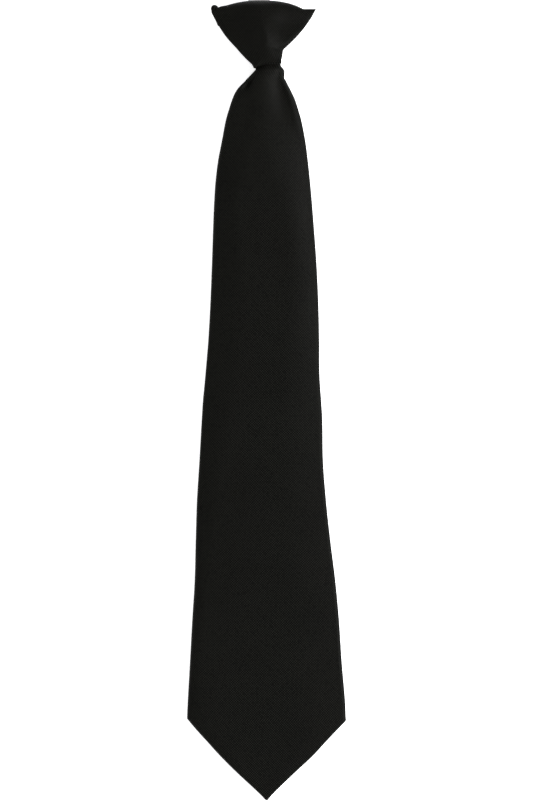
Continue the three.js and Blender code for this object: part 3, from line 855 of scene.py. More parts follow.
class StitchTree:
    """Geometry Nodes tree: short thread stitches, one after the other along a line."""

    NAME = "stitch_row"
    INPUTS = (
        ("Spacing", "NodeSocketFloat", 3.0 * MM),
        ("Length", "NodeSocketFloat", 2.0 * MM),
        ("Thread", "NodeSocketFloat", 0.3 * MM),
        ("Slant", "NodeSocketFloat", 0.3),
        ("Wander", "NodeSocketFloat", 0.1),
        ("Seed", "NodeSocketInt", 7),
    )
    BALL = {"Segments": 8, "Rings": 6, "Radius": 0.5}

    def __init__(self) -> None:
        """Builds the tree and keeps the identifiers of its inputs."""
        self.tree = bpy.data.node_groups.new(self.NAME, "GeometryNodeTree")
        face = self.tree.interface
        face.new_socket("Geometry", in_out="INPUT", socket_type="NodeSocketGeometry")
        self.identifiers = {}
        for name, kind, default in self.INPUTS:
            socket = face.new_socket(name, in_out="INPUT", socket_type=kind)
            socket.default_value = default
            self.identifiers[name] = socket.identifier
        dress = face.new_socket("Material", in_out="INPUT", socket_type="NodeSocketMaterial")
        self.identifiers["Material"] = dress.identifier
        face.new_socket("Geometry", in_out="OUTPUT", socket_type="NodeSocketGeometry")
        self._fill()

    def _fill(self) -> None:
        """Adds and links the tree's nodes."""
        graph = NodeGraph(self.tree)
        source = graph.add("NodeGroupInput")
        target = graph.add("NodeGroupOutput")
        curve = graph.add("GeometryNodeMeshToCurve")
        graph.link(source.outputs["Geometry"], curve.inputs["Mesh"])
        points = graph.add("GeometryNodeCurveToPoints", mode="LENGTH")
        graph.link(curve.outputs["Curve"], points.inputs["Curve"])
        graph.link(source.outputs["Spacing"], points.inputs["Length"])
        ball = graph.add("GeometryNodeMeshUVSphere")
        for name, value in self.BALL.items():
            ball.inputs[name].default_value = value
        size = graph.add("ShaderNodeCombineXYZ")
        for axis, name in enumerate(("Thread", "Thread", "Length")):
            graph.link(source.outputs[name], size.inputs[axis])
        wander = graph.add("FunctionNodeRandomValue", data_type="FLOAT")
        graph.link(graph.math("MULTIPLY", source.outputs["Wander"], -1.0), wander.inputs["Min"])
        graph.link(source.outputs["Wander"], wander.inputs["Max"])
        graph.link(source.outputs["Seed"], wander.inputs["Seed"])
        angle = graph.math("ADD", source.outputs["Slant"], wander.outputs["Value"])
        lean = graph.add("ShaderNodeCombineXYZ")
        graph.link(angle, lean.inputs[1])
        turn = graph.add("FunctionNodeEulerToRotation")
        graph.link(lean.outputs[0], turn.inputs[0])
        turned = graph.add("FunctionNodeRotateRotation", rotation_space="LOCAL")
        graph.link(points.outputs["Rotation"], turned.inputs["Rotation"])
        graph.link(turn.outputs[0], turned.inputs["Rotate By"])
        place = graph.add("GeometryNodeInstanceOnPoints")
        graph.link(points.outputs["Points"], place.inputs["Points"])
        graph.link(ball.outputs["Mesh"], place.inputs["Instance"])
        graph.link(turned.outputs["Rotation"], place.inputs["Rotation"])
        graph.link(size.outputs[0], place.inputs["Scale"])
        real = graph.add("GeometryNodeRealizeInstances")
        graph.link(place.outputs["Instances"], real.inputs["Geometry"])
        dress = graph.add("GeometryNodeSetMaterial")
        graph.link(real.outputs["Geometry"], dress.inputs["Geometry"])
        graph.link(source.outputs["Material"], dress.inputs["Material"])
        graph.link(dress.outputs["Geometry"], target.inputs["Geometry"])

    def row(
        self,
        name: str,
        line: Sequence[Vector],
        material: bpy.types.Material,
        sizes: StitchSizes,
    ) -> bpy.types.Object:
        """Sews one row of stitches along a line.

        Args:
            name: The new object's name.
            line: Points of the line, in the model's frame.
            material: Finish of the thread.
            sizes: Values of the tree's inputs.

        Returns:
            The stitches as one plain mesh.
        """
        mesh = bpy.data.meshes.new(name)
        mesh.from_pydata([tuple(point) for point in line], [(i, i + 1) for i in range(len(line) - 1)], [])
        obj = new_object(name, mesh)
        sew = obj.modifiers.new("sew", "NODES")
        sew.node_group = self.tree
        for key, value in sizes._asdict().items():
            sew[self.identifiers[key.capitalize()]] = value
        sew[self.identifiers["Material"]] = material
        bake(obj)
        smooth_faces(obj)
        return obj


@dataclass
class Blade:
    """The tie's blade: front panel, rolled side folds, back flaps, vent, hems and gathered neck."""

    sizes: TieSizes
    wall: float = 1.0 * MM
    edge_thick: float = 3.6 * MM
    point_thick: float = 2.9 * MM
    point_height: float = 45.9 * MM
    crown: float = 4.2 * MM
    crest_soft: float = 0.08
    fold_depth: float = 2.4 * MM
    wave_height: float = 0.25 * MM
    wave_start: float = 0.1
    seam_gap: float = 0.6 * MM
    seam_inset: float = 8 * MM
    seam_depth: float = 0.45
    hem_fold: float = 9.5 * MM
    vent_rise: float = 52 * MM
    vent_reach: float = 1.6
    vent_spread: float = 1.3
    slant_reach: float = 24 * MM
    roll_limit: float = 0.42
    roll_least: float = 0.12
    gap_limit: float = 0.98
    edge_tuck: float = 0.35
    cut_width: float = 2.15
    gather_reach: float = 45 * MM
    corner_lead: float = 4.0 * MM
    corner_above: float = 3.2 * MM
    corner_below: float = 3.6 * MM
    corner_trail: float = 4.6 * MM
    row_step: float = 2.0 * MM
    fine_step: float = 0.6 * MM
    neck_rings: int = 12
    corner_rings: int = 18
    point_rings: int = 40
    seam_points: int = 60
    back_steps: int = 12
    roll_steps: int = 13
    front_steps: int = 72
    edge_rounds: int = 14

    @property
    def half_width(self) -> float:
        """Half of the blade's width at the corners of its point."""
        return (self.sizes.blade_high[0] - self.sizes.blade_low[0]) / 2

    @property
    def corner_y(self) -> float:
        """Y of the two corners of the point."""
        return self.sizes.blade_low[1] + self.point_height

    @property
    def vent_y(self) -> float:
        """Y of the seam's lower end, where the back flaps part."""
        return self.corner_y + self.vent_rise

    @property
    def table_start(self) -> float:
        """Y that the tables' rows count from."""
        return self.sizes.hem_y - self.sizes.hem_slant / 2 - self.sizes.gap

    @property
    def body_start(self) -> float:
        """Y where the blade leaves the throat, at the hem's right end."""
        return self.sizes.hem_high - self.sizes.gap

    def stations(self) -> np.ndarray:
        """Y of each ring, from the neck's free end to the point.

        Returns:
            Falling values of Y.
        """
        corner_y = self.corner_y
        neck = np.linspace(self.sizes.blade_high[1], self.body_start + self.sizes.gap, self.neck_rings)
        gathers = np.arange(self.body_start, self.body_start - self.gather_reach, -self.fine_step)
        body = np.arange(gathers[-1] - self.fine_step, corner_y + self.corner_lead, -self.row_step)
        corner = np.linspace(corner_y + self.corner_above, corner_y - self.corner_below, self.corner_rings)
        point = np.linspace(corner_y - self.corner_trail, self.sizes.blade_low[1], self.point_rings)
        return np.concatenate([neck, gathers, body, corner, point])

    def place(self, y: np.ndarray) -> np.ndarray:
        """Turns Y into the tables' places along the blade."""
        return (self.table_start - y) / (self.table_start - self.corner_y)

    def slanted(self, x: np.ndarray, station: np.ndarray) -> np.ndarray:
        """Y of a station at each X: near the throat it follows the knot's hem."""
        fade = 1 - smoothstep(self.body_start - station, 0.0, self.slant_reach)
        return station - fade * (self.body_start + self.sizes.gap - self.sizes.hem_line(x))

    def gather_height(self, at: np.ndarray, across: np.ndarray) -> np.ndarray:
        """Height of all gathers at places along and across the front panel.

        Args:
            at: Places along the blade, as in EdgeRow.
            across: Places across, from -1 to 1.

        Returns:
            One height for each place.
        """
        height = np.zeros(np.broadcast(at, across).shape)
        for fold in GATHERS:
            rising = smoothstep(at, fold.start, fold.peak)
            falling = 1 - smoothstep(at, fold.peak, fold.end)
            along = np.where(at < fold.peak, rising, falling)
            away = (across - fold.across) / fold.width
            height = height + fold.height * self.fold_depth * along * np.exp(-2 * away * away)
        return height

    def ripple(self, x: np.ndarray, y: np.ndarray) -> np.ndarray:
        """Slow waves of relaxed cloth, from -1 to 1, always the same."""
        return sum(wave.share * np.sin(wave.along * y + wave.across * x + wave.phase) for wave in WAVES)

    def section(self, y: np.ndarray) -> dict:
        """Sizes of the blade's section at each station.

        Args:
            y: Stations along the tie.

        Returns:
            Arrays named at, point, left, right, bottom and edge, and one for each other column of the relief.
        """
        at = self.place(self.slanted(np.zeros_like(y), y))
        point = np.clip((self.corner_y - y) / self.point_height, 0.0, 1.0)
        left = -self.half_width * smooth_column(EDGE_ROWS, "left", at)
        right = self.half_width * smooth_column(EDGE_ROWS, "right", at)
        for _ in range(self.edge_rounds):
            left_at, right_at = self.place(self.slanted(left, y)), self.place(self.slanted(right, y))
            left = lerp(left, -self.half_width * smooth_column(EDGE_ROWS, "left", left_at), 0.5)
            right = lerp(right, self.half_width * smooth_column(EDGE_ROWS, "right", right_at), 0.5)
        relief = {name: smooth_column(RELIEF_ROWS, name, at) for name in ReliefRow._fields[1:]}
        edge = lerp(lerp(self.edge_thick, self.sizes.neck_thick, relief["plump"]), self.point_thick, point)
        bottom = np.maximum(self.sizes.neck_z * relief["lift"], 0.0)
        neck = y > self.body_start
        neck_half = self.sizes.hem_width / 2 - self.sizes.knot_wall * self.sizes.side_inset - self.sizes.gap
        own = {
            "at": at,
            "point": point,
            "left": np.where(neck, self.sizes.hem_shift - neck_half, left),
            "right": np.where(neck, self.sizes.hem_shift + neck_half, right),
            "bottom": np.where(neck, self.sizes.neck_z, bottom),
            "edge": np.where(neck, self.sizes.neck_thick, edge),
        }
        return relief | own | {"crown": self.crown * np.where(neck, 0.0, relief["crown"])}

    def flap_gap(self, y: np.ndarray, section: dict) -> np.ndarray:
        """Half of the gap between the back flaps: the seam, then the vent over the point.

        Args:
            y: Stations along the tie.
            section: The section's sizes.

        Returns:
            Half gaps.
        """
        inside = np.minimum(-section["left"], section["right"]) - self.hem_fold
        spread = smoothstep(self.vent_y - y, 0.0, self.vent_rise * self.vent_reach) * self.vent_spread
        above = np.minimum(inside, (self.half_width - self.hem_fold) * spread)
        wanted = np.where(section["point"] > 0, inside, above)
        return np.maximum(wanted, self.seam_gap / 2)

    def front_height(self, x: np.ndarray, section: dict, y: np.ndarray, ends: tuple) -> np.ndarray:
        """What the front panel stands over its side folds.

        Args:
            x: Where to read it.
            section: The section's sizes.
            y: The stations.
            ends: The two outermost X, where the panel's height ends at 0.

        Returns:
            Heights over the folds' top.
        """
        crest_left = section["left"] * section["crest_left"]
        crest_right = section["right"] * section["crest_right"]
        to_left = np.clip((crest_left - x) / (crest_left - ends[0]), 0.0, 1.0)
        to_right = np.clip((x - crest_right) / (ends[1] - crest_right), 0.0, 1.0)
        away = np.maximum(to_left, to_right)
        power = np.where(to_left > to_right, section["round_left"], section["round_right"])
        crowned = section["crown"] * (1 - ridge_fall(away, self.crest_soft) ** power)
        across = np.clip(np.where(x < 0, x / -ends[0], x / ends[1]), -1.0, 1.0)
        folds = self.gather_height(section["at"], across)
        calm = smoothstep(section["at"], 0.0, self.wave_start) * (1 - section["point"])
        return crowned + (folds + self.wave_height * self.ripple(x, y) * calm) * (1 - across**4)

    def skin(self, y: np.ndarray, inset: float) -> np.ndarray:
        """Points of the cloth's path round the section, from the left flap's edge to the right one's.

        Args:
            y: Stations along the tie.
            inset: How far inside the outer face the path runs.

        Returns:
            Points, as stations by columns by 3.
        """
        section = {key: value[:, None] for key, value in self.section(y).items()}
        station = y[:, None]
        gap = self.flap_gap(station, section)
        roll_z = section["edge"] / 2
        roll_x = np.minimum(roll_z, (section["right"] - section["left"]) * self.roll_limit)
        small_z = np.maximum(roll_z - inset, self.roll_least * roll_z)
        small_x = np.maximum(roll_x - inset, self.roll_least * roll_x)
        low, high = section["left"] + roll_x, section["right"] - roll_x
        ends = (low - small_x, high + small_x)
        gap = np.minimum(gap, np.minimum(-low, high) * self.gap_limit)
        middle = section["bottom"] + roll_z
        back = np.linspace(0, 1, self.back_steps)[None, :] + 0 * station
        turn = np.linspace(0, np.pi, self.roll_steps)[None, 1:-1] + 0 * station
        front = 0.5 - 0.5 * np.cos(np.pi * np.linspace(0, 1, self.front_steps)[None, :]) + 0 * station
        under = middle - small_z + 0 * back
        xs = [lerp(-gap, low, back), low - small_x * np.sin(turn), lerp(low, high, front)]
        xs += [high + small_x * np.sin(turn), lerp(high, gap, back)]
        none = np.zeros_like(back)
        tops = [none, np.cos(turn) < 0, np.ones_like(front), np.cos(turn) > 0, none]
        zs = [under, middle - small_z * np.cos(turn), middle + small_z + 0 * front]
        zs += [middle + small_z * np.cos(turn), under]
        x, z = np.concatenate(xs, axis=1), np.concatenate(zs, axis=1)
        z = z + np.concatenate(tops, axis=1) * self.front_height(x, section, station, ends)
        return np.stack([x, self.slanted(x, station), z], axis=-1)

    def build(self, finish: ClothFinish) -> bpy.types.Object:
        """Args:
            finish: The cloth's finish.

        Returns:
            The blade's piece.
        """
        y = self.stations()
        outer = self.skin(y, 0.0)
        inner = self.skin(y, self.wall)
        mid = (outer + inner) / 2
        tuck = np.array([self.edge_tuck * self.wall, 0.0, 0.0])
        left_edge = mid[:, :1] + tuck
        right_edge = mid[:, -1:] - tuck
        rings = np.concatenate([outer, right_edge, inner[:, ::-1], left_edge], axis=1)
        length = arc_length(outer)
        middle = outer.shape[1] // 2
        across = length - length[:, middle : middle + 1]
        for flap in (slice(0, self.back_steps), slice(-self.back_steps, None)):
            across[:, flap] = outer[:, flap, 0]
        first = across[:, :1]
        whole = np.concatenate([across, across[:, -1:], across[:, ::-1], first, first], axis=1)
        along = closed_rings(rings)[..., 1]
        wear = self._rubbed(outer, inner)
        obj = ring_mesh("blade_cloth", rings, np.stack([whole, along], axis=-1), True, True, wear)
        obj.data.materials.append(finish.material())
        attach(obj, BODY)
        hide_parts(Node.BLADE.value)
        return obj

    def _rubbed(self, outer: np.ndarray, inner: np.ndarray) -> np.ndarray:
        """How much the cloth is rubbed: most at its side folds, nothing inside.

        Args:
            outer: Points of the outer face.
            inner: Points of the inner face.

        Returns:
            One share for each point of the blade's rings.
        """
        rows, columns = outer.shape[:2]
        start, end = self.back_steps, columns - self.back_steps
        wear = np.zeros((rows, columns))
        for roll in (slice(start, start + self.roll_steps), slice(end - self.roll_steps, end)):
            wear[:, roll] = np.sin(np.linspace(0, np.pi, wear[:, roll].shape[1]))
        none = np.zeros((rows, 1))
        return np.concatenate([wear, none, np.zeros(inner.shape[:2]), none], axis=1)

    def seam_line(self) -> list:
        """Points of the slip-stitched seam between the back flaps, from the throat to the vent.

        Returns:
            Points along the seam.
        """
        y = np.linspace(self.body_start - self.seam_inset, self.vent_y, self.seam_points)
        z = self.section(y)["bottom"] + self.seam_depth * self.wall
        return [Vector((0.0, *map(float, place))) for place in zip(y, z)]


@dataclass
class Knot:
    """The ready-made knot: one wrap of cloth, open at the throat, with a slot for the clip."""

    sizes: TieSizes
    crown: float = 2.6 * MM
    shoulder_drop: float = 4.5 * MM
    top_fold: float = 4.4 * MM
    arc_centre: float = -0.065
    arc_reach: float = 0.7955
    arc_left: float = 2.2
    arc_right: float = 2.65
    ear_lift: float = 0.65 * MM
    ear_span: tuple = (0.617, 0.771)
    ear_drop: float = 4.81 * MM
    top_inset: float = 0.12 * MM
    tuck_left: float = 0.25 * MM
    tuck_right: float = -0.7 * MM
    hem_lip: float = 0.2 * MM
    lip_span: tuple = (0.93, 0.98)
    lip_drop: float = 0.2
    side_reach: float = 2.9 * MM
    ridge_soft: float = 0.06
    side_fold: float = 16.0
    flat: tuple = (0.115, 0.052)
    fold_end: float = 0.16
    body_from: float = 0.17
    fold_rows: int = 26
    columns: int = 96
    rows: int = 64

    def top_edge(self, across: np.ndarray) -> np.ndarray:
        """Y of the front panel's top fold, an arc, at places across from -1 to 1.

        Args:
            across: Places across the knot.

        Returns:
            One Y for each place.
        """
        away = across - self.arc_centre
        power = np.where(away < 0, self.arc_left, self.arc_right)
        drop = self.shoulder_drop * (np.abs(away) / self.arc_reach) ** power
        drop = np.where(away > 0, np.minimum(drop, self.ear_drop), drop)
        lift = self.ear_lift * smoothstep(-away, *self.ear_span)
        return self.sizes.knot_top - self.top_inset - drop + lift

    def half(self, at: np.ndarray, across: np.ndarray, inset: float, front: bool) -> np.ndarray:
        """Points of the front or the back of the wrap.

        Args:
            at: Rows from the top fold (0) to the hem (1) and past it.
            across: Columns from -1 to 1.
            inset: How far inside the outer face the points lie.
            front: Whether this is the front.

        Returns:
            Points, as rows by columns by 3.
        """
        sizes = self.sizes
        at, across = at[:, None], across[None, :]
        hem_left = sizes.hem_shift - sizes.hem_width / 2
        hem_right = sizes.hem_shift + sizes.hem_width / 2
        hem = sizes.hem_line(lerp(hem_left, hem_right, (across + 1) / 2))
        y = lerp(self.top_edge(across) - inset, hem, at)
        side_at = []
        for end in (-1.0, 1.0):
            end_top = float(self.top_edge(np.array(end)))
            end_hem = float(sizes.hem_line(np.array(hem_left if end < 0 else hem_right)))
            reach = end_top - sizes.hem_high + (self.side_reach if end < 0 else 0.0)
            side_at.append((end_top - lerp(end_top - inset, end_hem, at)) / reach)
        corner_left = sizes.knot_low[0] + self.tuck_left
        corner_right = sizes.knot_high[0] - self.tuck_right
        side = inset * sizes.side_inset
        lip = self.hem_lip * smoothstep(at, *self.lip_span)
        left = lerp(corner_left, hem_left, smooth_column(KNOT_ROWS, "left", side_at[0])) + side - lip
        right = lerp(corner_right, hem_right, smooth_column(KNOT_ROWS, "right", side_at[1])) - side + lip
        rounding = np.clip(at * (sizes.knot_top - sizes.hem_y) / (self.top_fold - inset), 0.0, 1.0)
        swell = np.sqrt(1 - (1 - rounding) ** 2)
        x = lerp(left, right, (across + 1) / 2)
        if not front:
            sink = sizes.throat_depth * sizes.rim_share - inset
            z = sizes.rim_z - sink * swell * np.maximum(1 - np.abs(across) ** 4, 0.0) ** 0.25
            return np.stack(np.broadcast_arrays(x, y, z), axis=-1)
        crown = self.crown * smooth_column(KNOT_ROWS, "crown", at)
        rise = sizes.throat_depth * (1 - sizes.rim_share) - inset + crown
        ridge = smooth_column(KNOT_ROWS, "ridge", at)
        end = np.where(across < ridge, -1.0, 1.0)
        away = np.clip((across - ridge) / (end - ridge), 0.0, 1.0)
        round_left = smooth_column(KNOT_ROWS, "round_left", at)
        round_right = smooth_column(KNOT_ROWS, "round_right", at)
        power = np.where(across < ridge, round_left, round_right)
        edge = smooth_column(KNOT_ROWS, "edge", at)
        fold = np.maximum(1 - away**self.side_fold, 0.0) ** (1 / self.side_fold)
        flank = edge * fold + (1 - edge) * (1 - ridge_fall(away, self.ridge_soft) ** power)
        hollow = smooth_column(KNOT_ROWS, "hollow", at) * self.crown
        dent = np.where(across < ridge, 0.0, hollow * np.sin(np.pi * away) ** 2)
        z = sizes.rim_z + swell * (rise * flank - dent)
        return np.stack(np.broadcast_arrays(x, y, z), axis=-1)

    def rings(self, at: np.ndarray, inset: float) -> np.ndarray:
        """Closed rings round the knot, starting at the middle of the back.

        Args:
            at: Rows from the top fold (0) to the hem (1).
            inset: How far inside the outer face the rings lie.

        Returns:
            Points, as rows by columns by 3.
        """
        across = np.sin(np.linspace(-np.pi / 2, np.pi / 2, self.columns))
        back = self.half(at, across, inset, False)
        front = self.half(at, across, inset, True)
        middle = self.columns // 2
        return np.concatenate([back[:, middle:], front[:, ::-1][:, 1:-1], back[:, :middle]], axis=1)

    def weave_across(self, closed: np.ndarray) -> np.ndarray:
        """Way round each closed ring from the front's middle, and on the back from the back's middle.

        Args:
            closed: Rings whose first column is repeated at the end.

        Returns:
            One distance for each point.
        """
        length = arc_length(closed)
        behind = self.columns // 2
        front_middle = behind + self.columns // 2 - 1
        across = length - length[:, front_middle : front_middle + 1]
        across[:, : self.columns - behind] = length[:, : self.columns - behind]
        across[:, -behind - 1 :] = length[:, -behind - 1 :] - length[:, -1:]
        return across

    def build(self, finish: ClothFinish, clip: "Clip") -> bpy.types.Object:
        """Args:
            finish: The cloth's finish.
            clip: The clip that the slot lets through.

        Returns:
            The knot's piece.
        """
        wall = self.sizes.knot_wall
        fold = np.linspace(0, 1, self.fold_rows) ** 2 * self.fold_end
        down = np.concatenate([fold, np.linspace(self.body_from, 1.0, self.rows)])
        outer = self.rings(down, 0.0)
        inner = self.rings(down, wall)[::-1]
        lip = (outer[-1:] + inner[:1]) / 2
        lip[..., 1] -= self.lip_drop * wall
        rings = np.concatenate([outer, lip, inner])
        closed = closed_rings(rings)
        uvs = np.stack([self.weave_across(closed), closed[..., 1]], axis=-1)
        obj = ring_mesh("knot_cloth", rings, uvs, False, False)
        cutter = clip.strap("slot_cutter", self.sizes.gap)
        cut = obj.modifiers.new("slot", "BOOLEAN")
        cut.operation = "DIFFERENCE"
        cut.object = cutter
        cut.solver = "EXACT"
        bake(obj)
        bpy.data.objects.remove(cutter)
        obj.data.materials.clear()
        obj.data.materials.append(finish.material())
        smooth_faces(obj)
        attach(obj, BODY)
        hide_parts(Node.KNOT.value)
        return obj


def sweep(
    name: str,
    path: np.ndarray,
    widths: np.ndarray,
    depths: np.ndarray,
    segments: int = 28,
) -> bpy.types.Object:
    """Makes a closed round bar along a path that lies level.

    Args:
        name: The object's name.
        path: Points of the bar's middle.
        widths: Half width of the bar at each point, across the path and level.
        depths: Half height of the bar at each point.
        segments: Points of each ring.

    Returns:
        The new object.
    """
    along = np.gradient(path, axis=0)
    along /= np.linalg.norm(along, axis=1, keepdims=True)
    side = np.cross(along, np.array([0.0, 0.0, 1.0]))
    side /= np.linalg.norm(side, axis=1, keepdims=True)
    up = np.cross(side, along)
    angle = np.linspace(0, 2 * np.pi, segments, endpoint=False)
    rings = (
        path[:, None]
        + side[:, None] * (widths[:, None] * np.cos(angle))[..., None]
        + up[:, None] * (depths[:, None] * np.sin(angle))[..., None]
    )
    closed = closed_rings(rings)
    uvs = np.stack([arc_length(closed), closed[..., 1]], axis=-1)
    return ring_mesh(name, rings, uvs, True, True)


@dataclass
class Clip:
    """The clip: one bent strip of plated steel, with rounded edges."""

    sizes: TieSizes
    plate_length: float = 20 * MM
    tongue_length: float = 22 * MM
    lip_radius: float = 6 * MM
    lip_angle: float = math.radians(35)
    lip_corner: float = 4 * MM
    corner_share: float = 0.98
    edge_radius: float = 0.22 * MM
    edge_steps: int = 5
    plate_steps: int = 12
    bend_steps: int = 36
    tongue_steps: int = 14
    lip_steps: int = 12

    def path(self) -> tuple:
        """Places along the strap's middle and the outward direction at each, in the Y-Z plane.

        Returns:
            The places and the directions, each as points by 2.
        """
        thick = self.sizes.strap_thick
        plate_z = self.sizes.plate_z
        fall = self.lip_radius * (1 - math.cos(self.lip_angle))
        tongue_z = fall + thick / 2 * math.cos(self.lip_angle)
        radius = (plate_z - tongue_z) / 2
        bend_y = self.sizes.clip_high[1] - thick / 2 - radius
        plate_end = bend_y - self.plate_length
        places = [(y, plate_z) for y in np.linspace(plate_end, bend_y, self.plate_steps)[:-1]]
        outs = [(0.0, 1.0)] * len(places)
        for angle in np.linspace(math.pi / 2, -math.pi / 2, self.bend_steps):
            out = (math.cos(angle), math.sin(angle))
            places.append((bend_y + radius * out[0], (plate_z + tongue_z) / 2 + radius * out[1]))
            outs.append(out)
        for y in np.linspace(bend_y, bend_y - self.tongue_length, self.tongue_steps)[1:-1]:
            places.append((y, tongue_z))
            outs.append((0.0, -1.0))
        for angle in np.linspace(math.pi / 2, math.pi / 2 + self.lip_angle, self.lip_steps):
            away = (math.cos(angle), math.sin(angle))
            centre = (bend_y - self.tongue_length, tongue_z - self.lip_radius)
            places.append((centre[0] + self.lip_radius * away[0], centre[1] + self.lip_radius * away[1]))
            outs.append((-away[0], -away[1]))
        return np.array(places), np.array(outs)

    def strap(self, name: str, clearance: float) -> bpy.types.Object:
        """Makes the strap's mesh, grown by a clearance.

        Args:
            name: The object's name.
            clearance: How far it is grown on all sides.

        Returns:
            The new object.
        """
        places, outs = self.path()
        middle = (self.sizes.clip_low[0] + self.sizes.clip_high[0]) / 2
        half = (self.sizes.clip_high[0] - self.sizes.clip_low[0]) / 2
        length = arc_length(places[None])[0]
        left = length[-1] - length
        inset = np.where(
            left < self.lip_corner,
            self.lip_corner - np.sqrt(np.maximum(self.lip_corner**2 - (self.lip_corner - left) ** 2, 0.0)),
            0.0,
        )
        width = (half - inset * self.corner_share + clearance)[:, None]
        deep = self.sizes.strap_thick / 2 + clearance
        radius = self.edge_radius if clearance == 0 else self.edge_radius / 2
        quarter = np.linspace(0, math.pi / 2, self.edge_steps)
        corners = []
        for turn, (sx, sz) in enumerate(((1, 1), (-1, 1), (-1, -1), (1, -1))):
            for angle in quarter + turn * math.pi / 2:
                rise = sz * (deep - radius) + radius * math.sin(angle)
                corners.append((sx, radius * (math.cos(angle) - sx), rise))
        side, add, depth = (np.array(values)[None] for values in zip(*corners))
        x = middle + side * width + add
        y = places[:, :1] + outs[:, :1] * depth
        z = places[:, 1:] + outs[:, 1:] * depth
        rings = np.stack(np.broadcast_arrays(x, y, z), axis=-1)
        closed = closed_rings(rings)
        uvs = np.stack([arc_length(closed), np.broadcast_to(length[:, None], closed.shape[:2])], axis=-1)
        return ring_mesh(name, rings, uvs, True, True)

    def build(self, finish: SteelFinish) -> bpy.types.Object:
        """Args:
            finish: The metal's finish.

        Returns:
            The clip's piece.
        """
        obj = self.strap("clip_strap", 0.0)
        obj.data.materials.append(finish.material())
        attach(obj, BODY)
        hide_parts(Node.CLIP.value)
        return obj


@dataclass
class Ear:
    """The rolled corner of the knot's under layer that stands out at the left."""

    sizes: TieSizes
    root: tuple = (6.55 * MM, -13.2 * MM)
    tip: tuple = (1.96 * MM, -4.5 * MM)
    radius: float = 1.9 * MM
    sink: float = 0.8 * MM
    taper: float = 0.55
    steps: int = 40
    end_share: float = 0.9995

    def corner_place(self, offset: tuple) -> np.ndarray:
        """Turns a place counted from the knot's upper left corner into a point at the ear's height.

        Args:
            offset: How far right of the corner and above it.

        Returns:
            The point.
        """
        across, down = offset
        height = self.sizes.rim_z - self.sink
        return np.array([self.sizes.knot_low[0] + across, self.sizes.knot_top + down, height])

    def roll(self) -> bpy.types.Object:
        """Makes the roll, thinner towards its round end.

        Returns:
            The new object.
        """
        start, centre = self.corner_place(self.root), self.corner_place(self.tip)
        along = (centre - start) / np.linalg.norm(centre - start)
        end = centre + along * self.radius
        share = np.sin(np.linspace(0, np.pi / 2, self.steps)) * self.end_share
        path = lerp(start, end, share[:, None])
        beyond = np.clip((path - centre) @ along / self.radius, 0.0, 1.0)
        radius = self.radius * np.sqrt(1 - beyond**2) * (1 + self.taper * (1 - share))
        return sweep("ear_roll", path, radius, radius)

    def build(self, finish: ClothFinish) -> bpy.types.Object:
        """Args:
            finish: The cloth's finish.

        Returns:
            The ear's piece.
        """
        obj = self.roll()
        obj.data.materials.append(finish.material())
        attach(obj, BODY)
        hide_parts(Node.KNOT.value)
        return obj


@dataclass
class Stitches:
    """Thread work: the blade's slip-stitched back seam and the tack at its end."""

    blade: Blade
    seam: StitchSizes = StitchSizes(4.2 * MM, 2.4 * MM, 0.32 * MM, 0.35, 0.1)
    tack: StitchSizes = StitchSizes(0.34 * MM, 3.2 * MM, 0.34 * MM, math.pi / 2, 0.06)
    tack_below: float = 1.4 * MM
    tack_step: float = 0.4 * MM
    tack_height: float = 0.14 * MM
    tack_points: int = 8

    def tack_line(self) -> list:
        """Points of the tack, across the seam's lower end."""
        start = self.blade.vent_y - self.tack_below
        return [Vector((0.0, start + i * self.tack_step, self.tack_height)) for i in range(self.tack_points)]

    def build(self, finish: ThreadFinish) -> list:
        """Args:
            finish: The thread's finish.

        Returns:
            The pieces of both rows.
        """
        tree = StitchTree()
        thread = finish.material()
        made = [
            tree.row("seam_stitches", self.blade.seam_line(), thread, self.seam),
            tree.row("seam_tack", self.tack_line(), thread, self.tack),
        ]
        for obj in made:
            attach(obj, BODY)
        return made


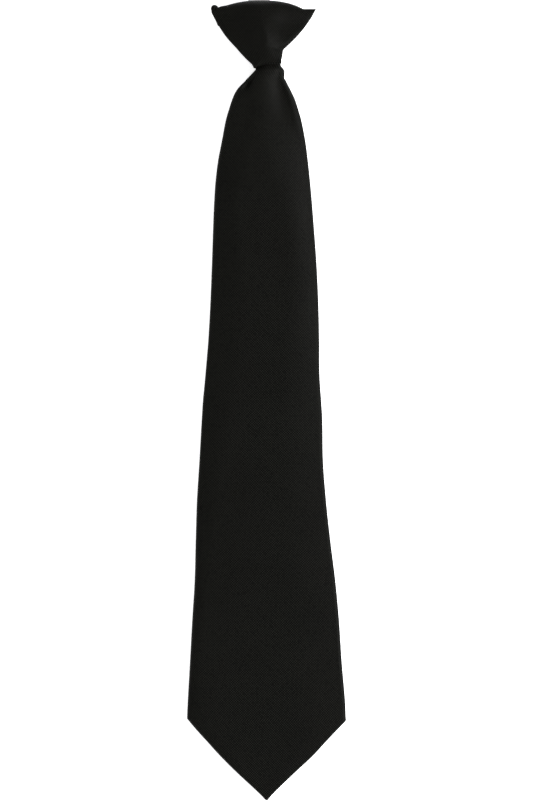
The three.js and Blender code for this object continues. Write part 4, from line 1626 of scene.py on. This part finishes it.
@dataclass(frozen=True)
class Studio:
    """Plain pale floor, a soft light from the lower right, and a camera straight over the tie."""

    frame_height: float = 448 * MM
    frame_top: float = 0.45 * MM
    distance: float = 5.0
    sensor: float = 24.0
    clip_end: float = 50.0
    floor_size: float = 6.0
    floor_drop: float = 0.05 * MM
    key_place: tuple = (1.7, -0.4, 1.7)
    key_size: float = 1.0
    key_power: float = 107.0
    surround: float = 1.0

    def floor(self, finish: FloorFinish) -> None:
        """Makes the floor, just under the tie.

        Args:
            finish: The floor's finish.
        """
        half = self.floor_size / 2
        mesh = bpy.data.meshes.new("floor")
        corners = [(-half, -half), (half, -half), (half, half), (-half, half)]
        mesh.from_pydata([(x, y, -self.floor_drop) for x, y in corners], [], [(0, 1, 2, 3)])
        obj = new_object("floor", mesh)
        mesh.materials.append(finish.material())

    def lamp(self, name: str, place: Sequence[float], size: float, power: float) -> None:
        """Adds one soft square light that looks at the tie.

        Args:
            name: The light's name.
            place: Where it stands.
            size: Length of its side.
            power: Its power in watts.
        """
        data = bpy.data.lights.new(name, "AREA")
        data.size = size
        data.energy = power
        obj = new_object(name, data)
        obj.location = place
        obj.rotation_euler = (-Vector(place)).to_track_quat("-Z", "Y").to_euler()

    def world(self) -> None:
        """Sets an even pale surrounding."""
        world = bpy.data.worlds.new("studio")
        bpy.context.scene.world = world
        world.use_nodes = True
        surround = world.node_tree.nodes["Background"]
        surround.inputs["Color"].default_value = (1.0, 1.0, 1.0, 1.0)
        surround.inputs["Strength"].default_value = self.surround

    def camera(self, sizes: TieSizes) -> None:
        """Places the camera straight above, with the knot at the top of the picture.

        Args:
            sizes: The tie's shared sizes.
        """
        data = bpy.data.cameras.new("camera")
        data.sensor_fit = "VERTICAL"
        data.sensor_height = self.sensor
        data.lens = self.sensor * self.distance / self.frame_height
        data.clip_end = self.clip_end
        obj = new_object("camera", data)
        middle = sizes.knot_top + self.frame_top - self.frame_height / 2
        obj.location = (0.0, middle, self.distance)
        bpy.context.scene.camera = obj

    def build(self, sizes: TieSizes) -> None:
        """Makes the whole studio.

        Args:
            sizes: The tie's shared sizes.
        """
        self.floor(FloorFinish())
        self.lamp("key_light", self.key_place, self.key_size, self.key_power)
        self.world()
        self.camera(sizes)
        bpy.context.scene.view_settings.view_transform = "Standard"


def main() -> None:
    """Builds every piece in order and reports each one."""
    logging.basicConfig(level=logging.INFO, format="%(name)s: %(message)s")
    sizes = TieSizes()
    Studio().build(sizes)
    cloth = ClothFinish("blade_twill")
    # The knot's twill is the blade's cloth with its light colour about a tenth darker: painted shade on the
    # knot.
    wrap = ClothFinish("knot_twill_painted_shade", light=(0.0077, 0.0079, 0.0064, 1.0))
    clip = Clip(sizes)
    blade = Blade(sizes)
    made = [
        clip.build(SteelFinish()),
        Knot(sizes).build(wrap, clip),
        Ear(sizes).build(wrap),
        blade.build(cloth),
        *Stitches(blade).build(ThreadFinish()),
    ]
    for obj in made:
        LOG.info("%s: %d faces", obj.name, len(obj.data.polygons))


if __name__ == "__main__":
    main()
